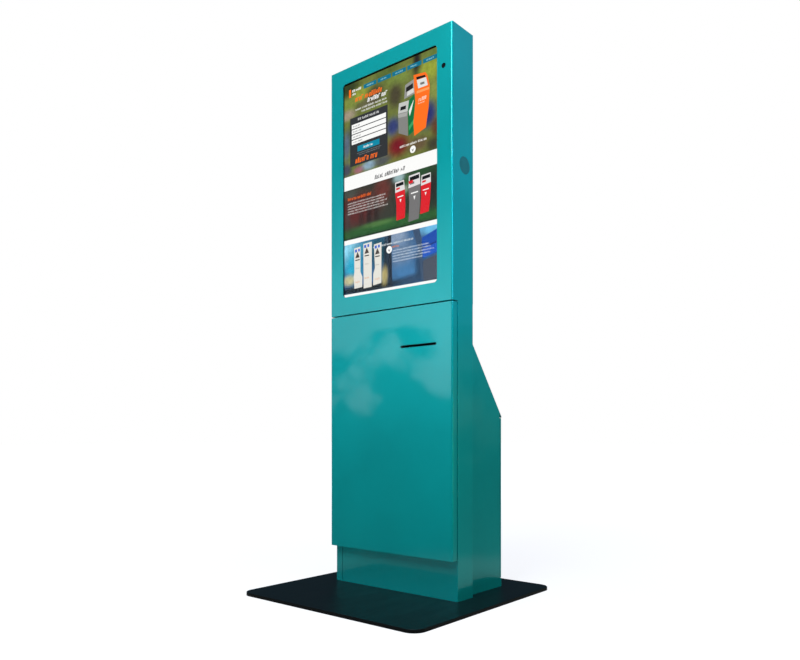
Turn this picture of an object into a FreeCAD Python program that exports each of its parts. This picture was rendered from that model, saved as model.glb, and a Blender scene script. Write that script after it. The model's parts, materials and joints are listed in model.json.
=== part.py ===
"""Free-standing ticket vending machine: a slim display head over a column with a service door,
a wedge-backed rear cabinet behind it, all standing on one square floor plate.

Millimetres, +Z up, the origin at the middle of the floor plate's underside. The machine faces -Y.
Every driving size is a cell of the spreadsheet "Sizes"; the rest follows through expressions.
"""
import FreeCAD, Part
import ast
import math
import operator
import os
import re

import Sketcher
from FreeCAD import Placement, Rotation, Vector

SIZES = {
    # overall
    "kiosk_height": 1700.0,
    "kiosk_width": 500.0,
    "head_depth": 105.0,
    "head_bottom": 892.0,
    "front_setback": 292.0,  # floor plate's front edge to the head's face
    "gauge": 2.0,  # sheet steel thickness
    "bend_radius": 5.0,
    "seam_gap": 4.0,
    # floor plate
    "plate_side": 700.0,
    "plate_thickness": 10.0,
    "plate_corner": 38.0,
    "plate_chamfer": 1.0,
    "anchor_radius": 7.0,
    "anchor_span": 300.0,
    "anchor_reach": 200.0,
    "anchor_first": 63.0,  # behind the head's face
    "entry_radius": 25.0,
    "entry_setback": 103.0,  # behind the column
    "grommet_bore": 20.0,
    "grommet_flange": 4.0,
    "grommet_rim": 5.0,
    "grommet_lift": 1.0,
    "bracket_reach": 42.0,
    "bracket_width": 40.0,
    "bracket_height": 50.0,
    "bracket_thickness": 4.0,
    "column_bracket_start": 16.0,
    "cabinet_bracket_start": 103.0,
    "floor_bolt": 5.0,
    "floor_bolt_depth": 8.0,
    "floor_bolt_head": 8.5,
    "floor_bolt_cap": 6.0,
    "floor_bolt_socket": 4.5,
    # display window
    "window_width": 388.0,
    "window_height": 700.0,
    "window_bottom": 950.0,
    "window_corner": 12.0,
    "recess_depth": 5.0,
    "glass_margin": 14.0,
    "glass_thickness": 4.0,
    "gasket_inset": 2.0,
    "panel_margin": 10.0,
    "panel_thickness": 18.5,
    "panel_gap": 0.5,
    "panel_edge": 6.0,
    "panel_step": 3.0,
    "rail_span": 160.0,
    "rail_width": 20.0,
    "rail_thickness": 4.0,
    "controller_width": 160.0,
    "controller_height": 140.0,
    "controller_thickness": 26.0,
    "controller_level": 1120.0,
    # camera and side port
    "camera_radius": 7.5,
    "camera_offset": 218.0,
    "camera_level": 1580.0,
    "camera_size": 18.0,
    "camera_depth": 20.0,
    "port_radius": 26.0,
    "port_setback": 61.5,
    "port_level": 1297.0,
    "cap_rim": 3.0,
    "cap_rim_height": 2.0,
    # head back
    "cover_gap": 2.0,
    "cover_flange": 15.0,
    "cover_screw": 2.0,
    "vent_width": 90.0,
    "vent_height": 4.0,
    "vent_pitch": 10.0,
    "vent_count": 7,
    "neck_width": 120.0,
    "neck_depth": 52.0,
    "neck_middle": 58.0,  # behind the head's face
    "head_bolt": 4.0,
    "head_bolt_span": 190.0,
    "fan_side": 80.0,
    "fan_depth": 25.0,
    "fan_bore": 38.0,
    "fan_hub": 15.0,
    "fan_level": 1640.0,
    "blade_count": 7,
    # column
    "flange_width": 27.0,
    "flange_seam": 1.5,
    "column_bend": 1.5,
    "back_overlap": 28.0,
    "plinth_top": 150.0,
    # front door
    "door_bottom": 131.0,
    "door_depth": 23.0,
    "door_gap": 4.0,
    "door_lip": 12.0,
    "slot_width": 138.0,
    "slot_height": 8.0,
    "slot_level": 769.0,
    "slot_offset": 122.6,
    "pivot_inset": 8.0,
    "pivot_setback": 14.0,
    "pivot_pin": 2.5,
    "pin_clearance": 0.05,
    "boss_radius": 5.5,
    "arm_thickness": 4.0,
    "arm_reach": 20.0,
    "hinge_gap": 0.3,
    "hinge_first": 200.0,
    "hinge_pitch": 310.0,
    "arm_width": 7.0,
    "foot_width": 10.0,
    "foot_height": 24.0,
    "door_plate_width": 21.0,
    "door_plate_height": 30.0,
    "pin_cap": 1.5,
    "bumper_radius": 4.0,
    # locks
    "lock_level": 500.0,
    "lock_setback": 24.0,
    "lock_body": 9.5,
    "lock_flange": 12.0,
    "lock_flange_height": 2.5,
    "plug_radius": 6.0,
    "lock_length": 27.5,
    "lock_nut": 13.0,
    "lock_nut_height": 5.0,
    "lock_stud": 3.0,
    "lock_stud_length": 5.0,
    "plug_sink": 0.4,
    "keyway_width": 1.2,
    "keyway_height": 7.0,
    "keyway_depth": 3.0,
    "cam_thickness": 3.0,
    "cam_width": 18.0,
    "hook_reach": 35.0,
    "striker_radius": 3.0,
    "hook_throat": 9.0,
    "hook_tip": 4.5,
    "striker_width": 21.0,
    "striker_height": 28.0,
    # rear cabinet
    "cabinet_width": 456.0,
    "cabinet_depth": 195.0,
    "slope_top": 818.0,
    "slope_bottom": 558.0,
    "rear_door_bottom": 38.0,
    "rear_door_depth": 9.5,
    "rear_gap": 1.5,
    "sill_gap": 2.0,
    "flange_clearance": 4.0,
    "rear_door_bend": 1.8,
    "louvre_margin": 40.0,
    "rear_hinge_first": 110.0,
    "rear_hinge_pitch": 320.0,
    "leaf_setback": 8.0,
    "leaf_start": 34.0,
    "side_gap": 0.5,
    "frame_flange": 18.0,
    "louvre_width": 120.0,
    "louvre_height": 5.0,
    "louvre_pitch": 14.0,
    "louvre_count": 8,
    "barrel_radius": 4.0,
    "barrel_length": 60.0,
    "barrel_offset": 4.5,
    "barrel_pin": 2.0,
    "leaf_thickness": 1.5,
    "leaf_width": 28.0,
    "rear_lock_offset": 190.0,
    "rear_lock_level": 300.0,
    "rear_lock_length": 15.5,
    "rear_cam_length": 32.0,
    # equipment shelf and ticket printer
    "shelf_level": 600.0,
    "shelf_front": 11.0,  # behind the column's front plane
    "shelf_depth": 148.0,
    "shelf_flange": 15.0,
    "paper_width": 112.0,
    "roll_radius": 50.0,
    "roll_setback": 123.0,  # behind the head's face
    "roll_lift": 63.0,  # above the shelf
    "spindle_radius": 6.0,
    "platen_radius": 8.0,
    "platen_setback": 76.0,
    "shaft_radius": 3.0,
    "gear_module": 1.25,
    "gear_teeth": 28,
    "pinion_teeth": 12,
    "gear_width": 6.0,
    "motor_radius": 14.0,
    "motor_length": 30.0,
    "chute_wall": 3.0,
    "path_height": 6.0,
    "lever_length": 42.0,
    "lever_radius": 2.5,
    # computer and power
    "computer_width": 180.0,
    "computer_depth": 110.0,
    "computer_height": 48.0,
    "computer_right": -20.0,
    "button_radius": 5.0,
    "power_width": 140.0,
    "power_depth": 70.0,
    "power_height": 50.0,
    "rocker_width": 15.0,
}

doc = FreeCAD.newDocument("TicketMachine")
sheet = doc.addObject("Spreadsheet::Sheet", "Sizes")
for row, (alias, amount) in enumerate(SIZES.items(), start=1):
    sheet.set(f"A{row}", alias)
    sheet.set(f"B{row}", repr(amount))
    sheet.setAlias(f"B{row}", alias)
doc.recompute()

ALIAS = re.compile(r"[a-z]+(?:_[a-z]+)*")
OPERATORS = {
    ast.Add: operator.add,
    ast.Sub: operator.sub,
    ast.Mult: operator.mul,
    ast.Div: operator.truediv,
}
NODES = {}


# ---------------------------------------------------------------- helpers
def linked(expression):
    """The expression with each alias pointed at the spreadsheet."""
    return ALIAS.sub(lambda m: "Sizes." + m[0] if m[0] in SIZES else m[0], str(expression))


def amount(expression):
    """The expression's value with the sheet's present numbers."""
    return worth(ast.parse(str(expression)).body[0].value)


def worth(node):
    """Value of one piece of a parsed expression; sqrt is the only function in use."""
    if isinstance(node, ast.Constant):
        return float(node.value)
    if isinstance(node, ast.Name):
        return float(SIZES[node.id])
    if isinstance(node, ast.UnaryOp):
        return -worth(node.operand)
    if isinstance(node, ast.BinOp):
        return OPERATORS[type(node.op)](worth(node.left), worth(node.right))
    return math.sqrt(worth(node.args[0]))


def bind(thing, **expressions):
    """Ties properties to expressions; x, y and z are the placement's position."""
    for key, expression in expressions.items():
        path = f"Placement.Base.{key}" if key in ("x", "y", "z") else key
        thing.setExpression(path, linked(expression))
    return thing


def keep(label, thing):
    """Registers a finished sub-part under its node name."""
    thing.Label = label
    NODES[label] = thing
    return thing


def box(name, x, y, z):
    """A block from three (start, length) pairs."""
    block = doc.addObject("Part::Box", name)
    bind(block, x=x[0], y=y[0], z=z[0], Length=x[1], Width=y[1], Height=z[1])
    return block


TURN = {
    "x": Rotation(Vector(0, 1, 0), 90),
    "y": Rotation(Vector(1, 0, 0), -90),
    "z": Rotation(),
}


def rod(name, axis, x, y, z, radius, length):
    """A cylinder that starts at (x, y, z) and runs along +axis."""
    cylinder = doc.addObject("Part::Cylinder", name)
    cylinder.Placement = Placement(Vector(), TURN[axis])
    bind(cylinder, x=x, y=y, z=z, Radius=radius, Height=length)
    return cylinder


def fuse(name, *shapes):
    union = doc.addObject("Part::MultiFuse", name)
    union.Shapes = list(shapes)
    return union


def cut(name, base, *tools):
    tool = tools[0] if len(tools) == 1 else fuse(name + "_tools", *tools)
    difference = doc.addObject("Part::Cut", name)
    difference.Base = base
    difference.Tool = tool
    return difference


def group(label, pieces):
    """Several alike solids under one node."""
    bundle = doc.addObject("Part::Compound", label + "_set")
    bundle.Links = list(pieces)
    return keep(label, bundle)


def rectangle(left, low, right, high):
    return [(left, low), (right, low), (right, high), (left, high)]


def plane_of(body, role):
    return next(f for f in body.Origin.OriginFeatures if f.Role == role)


def sketch_on(body, plane, level, loops):
    """A sketch on one of the body's own planes; every corner is tied to the sheet."""
    sketch = body.newObject("Sketcher::SketchObject", body.Name + "_sketch")
    sketch.AttachmentSupport = [(plane_of(body, plane), "")]
    sketch.MapMode = "FlatFace"
    side = "-1 * " if plane == "XZ_Plane" else ""
    sketch.setExpression("AttachmentOffset.Base.z", linked(f"{side}({level})"))
    for loop in loops:
        if loop[0] == "circle":
            circle_in(sketch, *loop[1:])
        elif loop[0] == "round":
            round_in(sketch, *loop[1:])
        else:
            polygon_in(sketch, loop)
    return sketch


def pin_point(sketch, element, vertex, x, y):
    for kind, expression in (("DistanceX", x), ("DistanceY", y)):
        number = sketch.addConstraint(
            Sketcher.Constraint(kind, -1, 1, element, vertex, amount(expression))
        )
        sketch.setExpression(f"Constraints[{number}]", linked(expression))


def circle_in(sketch, x, y, radius):
    centre = Vector(amount(x), amount(y), 0)
    element = sketch.addGeometry(Part.Circle(centre, Vector(0, 0, 1), amount(radius)), False)
    number = sketch.addConstraint(Sketcher.Constraint("Radius", element, amount(radius)))
    sketch.setExpression(f"Constraints[{number}]", linked(radius))
    pin_point(sketch, element, 3, x, y)


def polygon_in(sketch, corners):
    first = sketch.GeometryCount
    count = len(corners)
    points = [Vector(amount(x), amount(y), 0) for x, y in corners]
    for i in range(count):
        sketch.addGeometry(Part.LineSegment(points[i], points[(i + 1) % count]), False)
    for i in range(count):
        following = first + (i + 1) % count
        sketch.addConstraint(Sketcher.Constraint("Coincident", first + i, 2, following, 1))
    for i, (x, y) in enumerate(corners):
        pin_point(sketch, first + i, 1, x, y)


def round_in(sketch, left, low, right, high, radius):
    """A rectangle with four round corners, anticlockwise from the lower left."""
    corners = [
        (left, low, "1", "1"),
        (right, low, "-1", "1"),
        (right, high, "-1", "-1"),
        (left, high, "1", "-1"),
    ]
    ends = []
    for n, (x, y, along_x, along_y) in enumerate(corners):
        by_side = (x, f"{y} + {along_y} * ({radius})")
        by_base = (f"{x} + {along_x} * ({radius})", y)
        ends.append((by_side, by_base) if n % 2 == 0 else (by_base, by_side))
    first = sketch.GeometryCount
    for n, (x, y, along_x, along_y) in enumerate(corners):
        start, stop = (Vector(amount(u), amount(v), 0) for u, v in ends[n])
        middle = Vector(
            amount(f"{x} + {along_x} * ({radius})"), amount(f"{y} + {along_y} * ({radius})"), 0
        )
        outward = (start + stop) * 0.5 - middle
        outward.Length = amount(radius)
        sketch.addGeometry(Part.Arc(start, middle + outward, stop), False)
        following = Vector(*(amount(value) for value in ends[(n + 1) % 4][0]), 0)
        sketch.addGeometry(Part.LineSegment(stop, following), False)
    for n in range(4):
        arc, line, after = first + 2 * n, first + 2 * n + 1, first + 2 * ((n + 1) % 4)
        pin_point(sketch, line, 1, *ends[n][1])
        pin_point(sketch, line, 2, *ends[(n + 1) % 4][0])
        sketch.addConstraint(Sketcher.Constraint("Coincident", arc, 2, line, 1))
        sketch.addConstraint(Sketcher.Constraint("Coincident", line, 2, after, 1))
        number = sketch.addConstraint(Sketcher.Constraint("Radius", arc, amount(radius)))
        sketch.setExpression(f"Constraints[{number}]", linked(radius))


def new_body(label):
    body = doc.addObject("PartDesign::Body", label + "_body")
    return keep(label, body)


def pad(body, plane, start, loops, length):
    """Adds material from the level "start" towards the plane's + axis."""
    feature = body.newObject("PartDesign::Pad", body.Name + "_pad")
    feature.Profile = sketch_on(body, plane, start, loops)
    feature.Reversed = plane == "XZ_Plane"
    feature.setExpression("Length", linked(length))
    doc.recompute()
    return feature


def pocket(body, plane, start, loops, length):
    """Cuts from the level "start" towards the plane's + axis."""
    before = body.Shape.Volume
    feature = body.newObject("PartDesign::Pocket", body.Name + "_pocket")
    feature.Profile = sketch_on(body, plane, start, loops)
    feature.Reversed = plane != "XZ_Plane"
    feature.setExpression("Length", linked(length))
    doc.recompute()
    if body.Shape.Volume > before - 1e-3:
        raise RuntimeError(f"a pocket of {body.Label} cuts nothing")
    return feature


def edges_along(shape, axis, places):
    """Straight edges along an axis that pass through the given points of the other two."""
    others = [i for i in range(3) if i != "xyz".index(axis)]
    found = []
    for number, edge in enumerate(shape.Edges, start=1):
        ends = [v.Point for v in edge.Vertexes]
        if len(ends) != 2 or not isinstance(edge.Curve, Part.Line):
            continue
        if any(abs(ends[0][i] - ends[1][i]) > 1e-6 for i in others):
            continue
        here = [ends[0][i] for i in others]
        if any(math.dist(here, place) < 1e-3 for place in places):
            found.append(f"Edge{number}")
    return found


def dress(body, kind, base, edges, **sizes):
    """A fillet or chamfer on named edges."""
    if not edges:
        raise RuntimeError(f"{body.Label} has no edge to {kind.lower()}")
    feature = body.newObject("PartDesign::" + kind, body.Name + "_" + kind.lower())
    feature.Base = (base, edges)
    for prop, expression in sizes.items():
        feature.setExpression(prop, linked(expression))
    doc.recompute()
    return feature


def repeat_up(body, feature, pitch, count):
    """Repeats a feature upwards, one pitch apart."""
    pattern = body.newObject("PartDesign::LinearPattern", body.Name + "_pattern")
    pattern.Originals = [feature]
    pattern.Direction = (plane_of(body, "Z_Axis"), [""])
    pattern.setExpression("Length", linked(f"({pitch}) * ({count} - 1)"))
    pattern.setExpression("Occurrences", linked(count))
    body.Tip = pattern
    doc.recompute()
    return pattern


def repeat_round(body, feature, axis, count):
    """Repeats a feature in a full circle round one of the body's axes."""
    pattern = body.newObject("PartDesign::PolarPattern", body.Name + "_polar")
    pattern.Originals = [feature]
    pattern.Axis = (plane_of(body, axis), [""])
    pattern.Angle = 360
    pattern.setExpression("Occurrences", linked(count))
    body.Tip = pattern
    doc.recompute()
    return pattern


# ---------------------------------------------------------------- shared places
HALF = "(kiosk_width / 2)"
FACE = "(front_setback - plate_side / 2)"  # front face of the head and the door
COLUMN = f"({FACE} + door_depth + door_gap)"  # column's front plane
BACK = f"({FACE} + head_depth)"  # back of the head and the column
REAR = f"({BACK} + cabinet_depth)"  # back of the rear cabinet
CABINET = "(cabinet_width / 2)"
FRAME = f"({REAR} - rear_door_depth - rear_gap)"  # plane that the rear door closes on
FLOOR = "plate_thickness"
INNER = f"({HALF} - gauge)"
CAB_INNER = f"({CABINET} - gauge)"
GLASS = f"({FACE} + recess_depth)"
PANEL = f"({GLASS} + glass_thickness + panel_gap)"
PANEL_BACK = f"({PANEL} + panel_thickness)"
WINDOW = "(window_width / 2)"
WINDOW_TOP = "(window_bottom + window_height)"
DOOR_TOP = "(head_bottom - seam_gap)"
DOOR_BACK = f"({FACE} + door_depth)"
PIVOT_X = f"({HALF} - pivot_inset)"
PIVOT_Y = f"({FACE} + pivot_setback)"
SLOPE = "((slope_top - slope_bottom) / cabinet_depth)"
SLOPE_SHEET = f"(gauge * sqrt(1 + {SLOPE} * {SLOPE}))"  # sheet thickness measured upright
LOCK_Y = f"({COLUMN} + lock_setback)"
SHELF = "(shelf_level + gauge)"
CHEEK = "(paper_width / 2 + 6)"  # inner half width of the printer


def slope_under(y):
    """Height of the sloped panel's underside at a depth y."""
    return f"(slope_top - {SLOPE_SHEET} - ({y} - {BACK}) * {SLOPE})"


# ---------------------------------------------------------------- floor plate
def make_base_plate():
    """One thick square plate with round corners; anchors and cable entry hide in the cabinet."""
    half = "(plate_side / 2)"
    body = new_body("base_plate")
    slab = pad(body, "XY_Plane", "0", [rectangle(f"-{half}", f"-{half}", half, half)], FLOOR)
    side = amount(half)
    corners = [(x, y) for x in (-side, side) for y in (-side, side)]
    rounded = dress(
        body, "Fillet", slab, edges_along(slab.Shape, "z", corners), Radius="plate_corner"
    )
    top = amount(FLOOR)
    rim = [
        f"Edge{n}"
        for n, edge in enumerate(rounded.Shape.Edges, start=1)
        if all(abs(v.Z - top) < 1e-6 for v in edge.Vertexes)
    ]
    dress(body, "Chamfer", rounded, rim, Size="plate_chamfer")
    holes = [("circle", "0", f"{BACK} + entry_setback", "entry_radius")]
    for side_x in ("-1", "1"):
        for reach in ("0", "anchor_reach"):
            x = f"{side_x} * anchor_span / 2"
            y = f"{FACE} + anchor_first + {reach}"
            holes.append(("circle", x, y, "anchor_radius"))
    pocket(body, "XY_Plane", "0", holes, FLOOR)
    taps = [("circle", x, y, "floor_bolt") for x, y in floor_bolt_places()]
    pocket(body, "XY_Plane", f"{FLOOR} - floor_bolt_depth", taps, "floor_bolt_depth")


def bracket_walls():
    """Side, inner face of the wall and front edge of each floor bracket."""
    column = (INNER, f"{COLUMN} + column_bracket_start")
    cabinet = (CAB_INNER, f"{BACK} + cabinet_bracket_start")
    return [(side, *wall) for side in ("-1", "1") for wall in (column, cabinet)]


def floor_bolt_places():
    return [
        (f"{side} * ({wall} - bracket_reach / 2)", f"{start} + bracket_width / 2")
        for side, wall, start in bracket_walls()
    ]


def make_cable_grommet():
    """Rubber ring that lines the cable entry."""
    place = ("0", f"{BACK} + entry_setback")
    sleeve = rod(
        "grommet_sleeve", "z", *place, "grommet_lift", "entry_radius", f"{FLOOR} - grommet_lift"
    )
    flange = rod(
        "grommet_top", "z", *place, FLOOR, "entry_radius + grommet_rim", "grommet_flange"
    )
    bore = rod("grommet_hole", "z", *place, "0", "grommet_bore", f"{FLOOR} + grommet_flange")
    keep("cable_grommet", cut("grommet", fuse("grommet_ring", sleeve, flange), bore))


def make_floor_brackets():
    """Four angle brackets with a bolt each hold the shell down on the plate."""
    brackets = []
    bolts = []
    thick = "bracket_thickness"
    for number, (side, wall, start) in enumerate(bracket_walls()):
        name = f"bracket_{number}"
        low = f"-{wall}" if side == "-1" else f"{wall} - bracket_reach"
        upright = f"-{wall}" if side == "-1" else f"{wall} - {thick}"
        run = (start, "bracket_width")
        foot = box(name + "_foot", (low, "bracket_reach"), run, (FLOOR, thick))
        leg = box(name + "_leg", (upright, thick), run, (FLOOR, "bracket_height"))
        x, y = floor_bolt_places()[number]
        hole = rod(name + "_hole", "z", x, y, FLOOR, "floor_bolt", thick)
        brackets.append(cut(name, fuse(name + "_angle", foot, leg), hole))
        seat = f"{FLOOR} + {thick}"
        shank = rod(
            name + "_shank", "z", x, y, f"{FLOOR} - floor_bolt_depth", "floor_bolt",
            f"floor_bolt_depth + {thick}",
        )
        head = rod(name + "_head", "z", x, y, seat, "floor_bolt_head", "floor_bolt_cap")
        socket = rod(
            name + "_socket", "z", x, y, f"{seat} + floor_bolt_cap / 3", "floor_bolt_socket",
            "floor_bolt_cap",
        )
        bolts.append(cut(name + "_bolt", fuse(name + "_screw", shank, head), socket))
    group("floor_brackets", brackets)
    group("floor_bolts", bolts)


# ---------------------------------------------------------------- column
def column_profile(side):
    """Plan of a column side: web, front flange and the narrower rear flange."""
    rear_flange = f"({HALF} - {CAB_INNER})"
    points = [
        (HALF, COLUMN),
        (HALF, BACK),
        (f"{HALF} - {rear_flange}", BACK),
        (f"{HALF} - {rear_flange}", f"{BACK} - gauge"),
        (INNER, f"{BACK} - gauge"),
        (INNER, f"{COLUMN} + gauge"),
        (f"{HALF} - flange_width", f"{COLUMN} + gauge"),
        (f"{HALF} - flange_width", COLUMN),
    ]
    return [(f"{side} * ({x})", y) for x, y in points]


def make_column_sides():
    """Left side is a plain channel; the right one wraps round to close the plinth in front."""
    height = f"head_bottom - {FLOOR}"
    for label, side in (("column_left_side", "-1"), ("column_right_side", "1")):
        body = new_body(label)
        base = pad(body, "XY_Plane", FLOOR, [column_profile(side)], height)
        sign = float(side)
        corner = [(sign * amount(HALF), amount(COLUMN)), (sign * amount(HALF), amount(BACK))]
        edges = edges_along(base.Shape, "z", corner)
        dress(body, "Fillet", base, edges, Radius="column_bend")
        if side == "1":
            left = f"-({HALF} - flange_width - flange_seam)"
            front = rectangle(left, FLOOR, f"{HALF} - flange_width", "plinth_top")
            pad(body, "XZ_Plane", COLUMN, [front], "gauge")
        else:
            hole = [("circle", LOCK_Y, "lock_level", "lock_body + 0.1")]
            pocket(body, "YZ_Plane", f"-{HALF}", hole, "gauge")


def neck_rectangle():
    middle = f"({FACE} + neck_middle)"
    return rectangle(
        "-neck_width / 2", f"{middle} - neck_depth / 2", "neck_width / 2", f"{middle} + neck_depth / 2"
    )


def head_bolt_places():
    return [
        (f"{side} * head_bolt_span", f"{FACE} + {setback}")
        for side in ("-1", "1")
        for setback in ("48", "88")
    ]


def make_column_top():
    """Top plate that the head stands on, and the strip that closes the back above the cabinet."""
    body = new_body("column_top_plate")
    outline = rectangle(f"-{INNER}", f"{COLUMN} + gauge", INNER, f"{BACK} - gauge")
    pad(body, "XY_Plane", "head_bottom - gauge", [outline, neck_rectangle()], "gauge")
    bolts = [("circle", x, y, "head_bolt") for x, y in head_bolt_places()]
    pocket(body, "XY_Plane", "head_bottom - gauge", bolts, "gauge")

    panel = new_body("column_back_panel")
    low = "(slope_top - back_overlap)"
    outline = rectangle(f"-{CAB_INNER}", low, CAB_INNER, "head_bottom - gauge")
    pad(panel, "XZ_Plane", f"{BACK} - gauge", [outline], "gauge")


# ---------------------------------------------------------------- rear cabinet
def make_rear_cabinet():
    """Two side sheets under one sloped panel, with a low sill below the rear door."""
    sill_top = "(rear_door_bottom - sill_gap)"
    for label, side in (("cabinet_left_side", "-1"), ("cabinet_right_side", "1")):
        body = new_body(label)
        outline = [
            (BACK, FLOOR),
            (REAR, FLOOR),
            (REAR, sill_top),
            (FRAME, sill_top),
            (FRAME, slope_under(FRAME)),
            (BACK, slope_under(BACK)),
        ]
        outer = f"-{CABINET}" if side == "-1" else CAB_INNER
        pad(body, "YZ_Plane", outer, [outline], "gauge")
        inner = f"{side} * {CAB_INNER}"
        edge = f"{side} * ({CAB_INNER} - frame_flange)"
        flange = rectangle(
            *((edge, sill_top, inner) if side == "1" else (inner, sill_top, edge)),
            f"{slope_under(FRAME)} - flange_clearance",
        )
        pad(body, "XZ_Plane", f"{FRAME} - gauge", [flange], "gauge")

    panel = new_body("cabinet_slope_panel")
    outline = [
        (BACK, "slope_top"),
        (BACK, f"slope_top - {SLOPE_SHEET}"),
        (REAR, f"slope_bottom - {SLOPE_SHEET}"),
        (REAR, "slope_bottom"),
    ]
    pad(panel, "YZ_Plane", f"-{CABINET}", [outline], "cabinet_width")

    sill = new_body("rear_sill")
    outline = [
        (FRAME, FLOOR),
        (REAR, FLOOR),
        (REAR, sill_top),
        (FRAME, sill_top),
        (FRAME, f"{sill_top} - gauge"),
        (f"{REAR} - gauge", f"{sill_top} - gauge"),
        (f"{REAR} - gauge", f"{FLOOR} + gauge"),
        (FRAME, f"{FLOOR} + gauge"),
    ]
    pad(sill, "YZ_Plane", f"-{CAB_INNER}", [outline], f"2 * {CAB_INNER}")


def make_rear_door():
    """Shallow pan with two banks of louvres and a cam lock."""
    half = f"({CABINET} - side_gap)"
    top = f"(slope_bottom - {SLOPE_SHEET} - rear_gap)"
    start = f"({REAR} - rear_door_depth)"
    body = new_body("rear_door")
    outer = rectangle(f"-{half}", "rear_door_bottom", half, top)
    inner = rectangle(
        f"-({half} - gauge)", "rear_door_bottom + gauge", f"{half} - gauge", f"{top} - gauge"
    )
    pad(body, "XZ_Plane", f"{REAR} - gauge", [outer], "gauge")
    rim = pad(body, "XZ_Plane", start, [outer, inner], "rear_door_depth - gauge")
    upright = [(x * amount(half), amount(REAR)) for x in (-1, 1)]
    dress(body, "Fillet", rim, edges_along(rim.Shape, "z", upright), Radius="rear_door_bend")
    hole = [("circle", "rear_lock_offset", "rear_lock_level", "lock_body + 0.1")]
    pocket(body, "XZ_Plane", f"{REAR} - gauge", hole, "gauge")
    upper = f"{top} - louvre_margin - louvre_pitch * (louvre_count - 1)"
    for low in ("rear_door_bottom + louvre_margin", upper):
        slot = rectangle("-louvre_width / 2", low, "louvre_width / 2", f"{low} + louvre_height")
        first = pocket(body, "XZ_Plane", f"{REAR} - gauge", [slot], "gauge")
        repeat_up(body, first, "louvre_pitch", "louvre_count")


def make_rear_hinges():
    """Two butt hinges on the left edge: lower knuckle on the cabinet, upper one on the door."""
    x = f"(-{CABINET} - barrel_offset)"
    y = f"({REAR} + leaf_thickness - barrel_radius)"
    half = "(barrel_length / 2)"
    fixed, moving, pins = [], [], []
    for number in range(2):
        level = f"(rear_hinge_first + {number} * rear_hinge_pitch)"
        name = f"rear_hinge_{number}"
        wall = box(
            name + "_wall",
            (f"-{CABINET} - leaf_thickness", "leaf_thickness"),
            (f"{y} - leaf_start", "leaf_width"),
            (level, half),
        )
        reach = box(
            name + "_reach",
            (f"{x}", f"-{CABINET} - {x}"),
            (f"{y} - leaf_setback", "leaf_thickness"),
            (level, half),
        )
        web = box(
            name + "_web",
            (f"{x} - leaf_thickness / 2", "leaf_thickness"),
            (f"{y} - leaf_setback", "leaf_setback"),
            (level, half),
        )
        barrel = rod(name + "_low", "z", x, y, level, "barrel_radius", half)
        hole = rod(name + "_low_hole", "z", x, y, level, "barrel_pin", half)
        fixed.append(cut(name + "_fixed", fuse(name + "_f", wall, reach, web, barrel), hole))
        upper = f"{level} + {half} + hinge_gap"
        leaf = box(
            name + "_leaf",
            (x, "leaf_width"),
            (REAR, "leaf_thickness"),
            (upper, f"{half} - hinge_gap"),
        )
        knuckle = rod(name + "_up", "z", x, y, upper, "barrel_radius", f"{half} - hinge_gap")
        bore = rod(
            name + "_up_hole", "z", x, y, upper, "barrel_pin + pin_clearance", f"{half} - hinge_gap"
        )
        moving.append(cut(name + "_moving", fuse(name + "_m", leaf, knuckle), bore))
        pin = rod(name + "_shank", "z", x, y, level, "barrel_pin", "barrel_length")
        top = f"{level} + barrel_length"
        cap = rod(name + "_cap", "z", x, y, f"{top} + hinge_gap", "barrel_radius * 0.8", "pin_cap")
        stem = rod(name + "_stem", "z", x, y, top, "barrel_pin", "hinge_gap")
        pins.append(fuse(name + "_pin", pin, stem, cap))
    group("rear_hinge_cabinet_leaves", fixed)
    group("rear_hinge_door_leaves", moving)
    group("rear_hinge_pins", pins)


def make_rear_lock():
    """Cam lock in the rear door; its cam swings behind the cabinet's flange."""
    x, z = "rear_lock_offset", "rear_lock_level"
    end = f"({REAR} - rear_lock_length)"
    flange = rod("rear_lock_rim", "y", x, REAR, z, "lock_flange", "lock_flange_height")
    barrel = rod("rear_lock_barrel", "y", x, f"{end} + 1", z, "lock_body", f"{REAR} - {end} - 1")
    nut = rod(
        "rear_lock_nut", "y", x, f"{REAR} - gauge - lock_nut_height", z, "lock_nut",
        "lock_nut_height",
    )
    bore = rod(
        "rear_lock_bore", "y", x, end, z, "plug_radius + pin_clearance",
        f"{REAR} - {end} + lock_flange_height",
    )
    keep("rear_lock_housing", cut("rear_housing", fuse("rear_shell", flange, barrel, nut), bore))
    plug = rod(
        "rear_plug_core", "y", x, end, z, "plug_radius",
        f"{REAR} - {end} + lock_flange_height - plug_sink",
    )
    stud = rod(
        "rear_plug_stud", "y", x, f"{end} - lock_stud_length", z, "lock_stud", "lock_stud_length"
    )
    key = box(
        "rear_keyway",
        (f"{x} - keyway_width / 2", "keyway_width"),
        (f"{REAR} + lock_flange_height - plug_sink - keyway_depth", "keyway_depth"),
        (f"{z} - keyway_height / 2", "keyway_height"),
    )
    keep("rear_lock_plug", cut("rear_plug", fuse("rear_plug_solid", plug, stud), key))
    cam = new_body("rear_lock_cam")
    outline = (
        "round", f"{x} - cam_width / 2", f"{z} - rear_cam_length",
        f"{x} + cam_width / 2", f"{z} + cam_width / 2", "cam_width / 3",
    )
    hole = ("circle", x, z, "lock_stud")
    pad(cam, "XZ_Plane", f"{end} - cam_thickness", [outline, hole], "cam_thickness")


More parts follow.
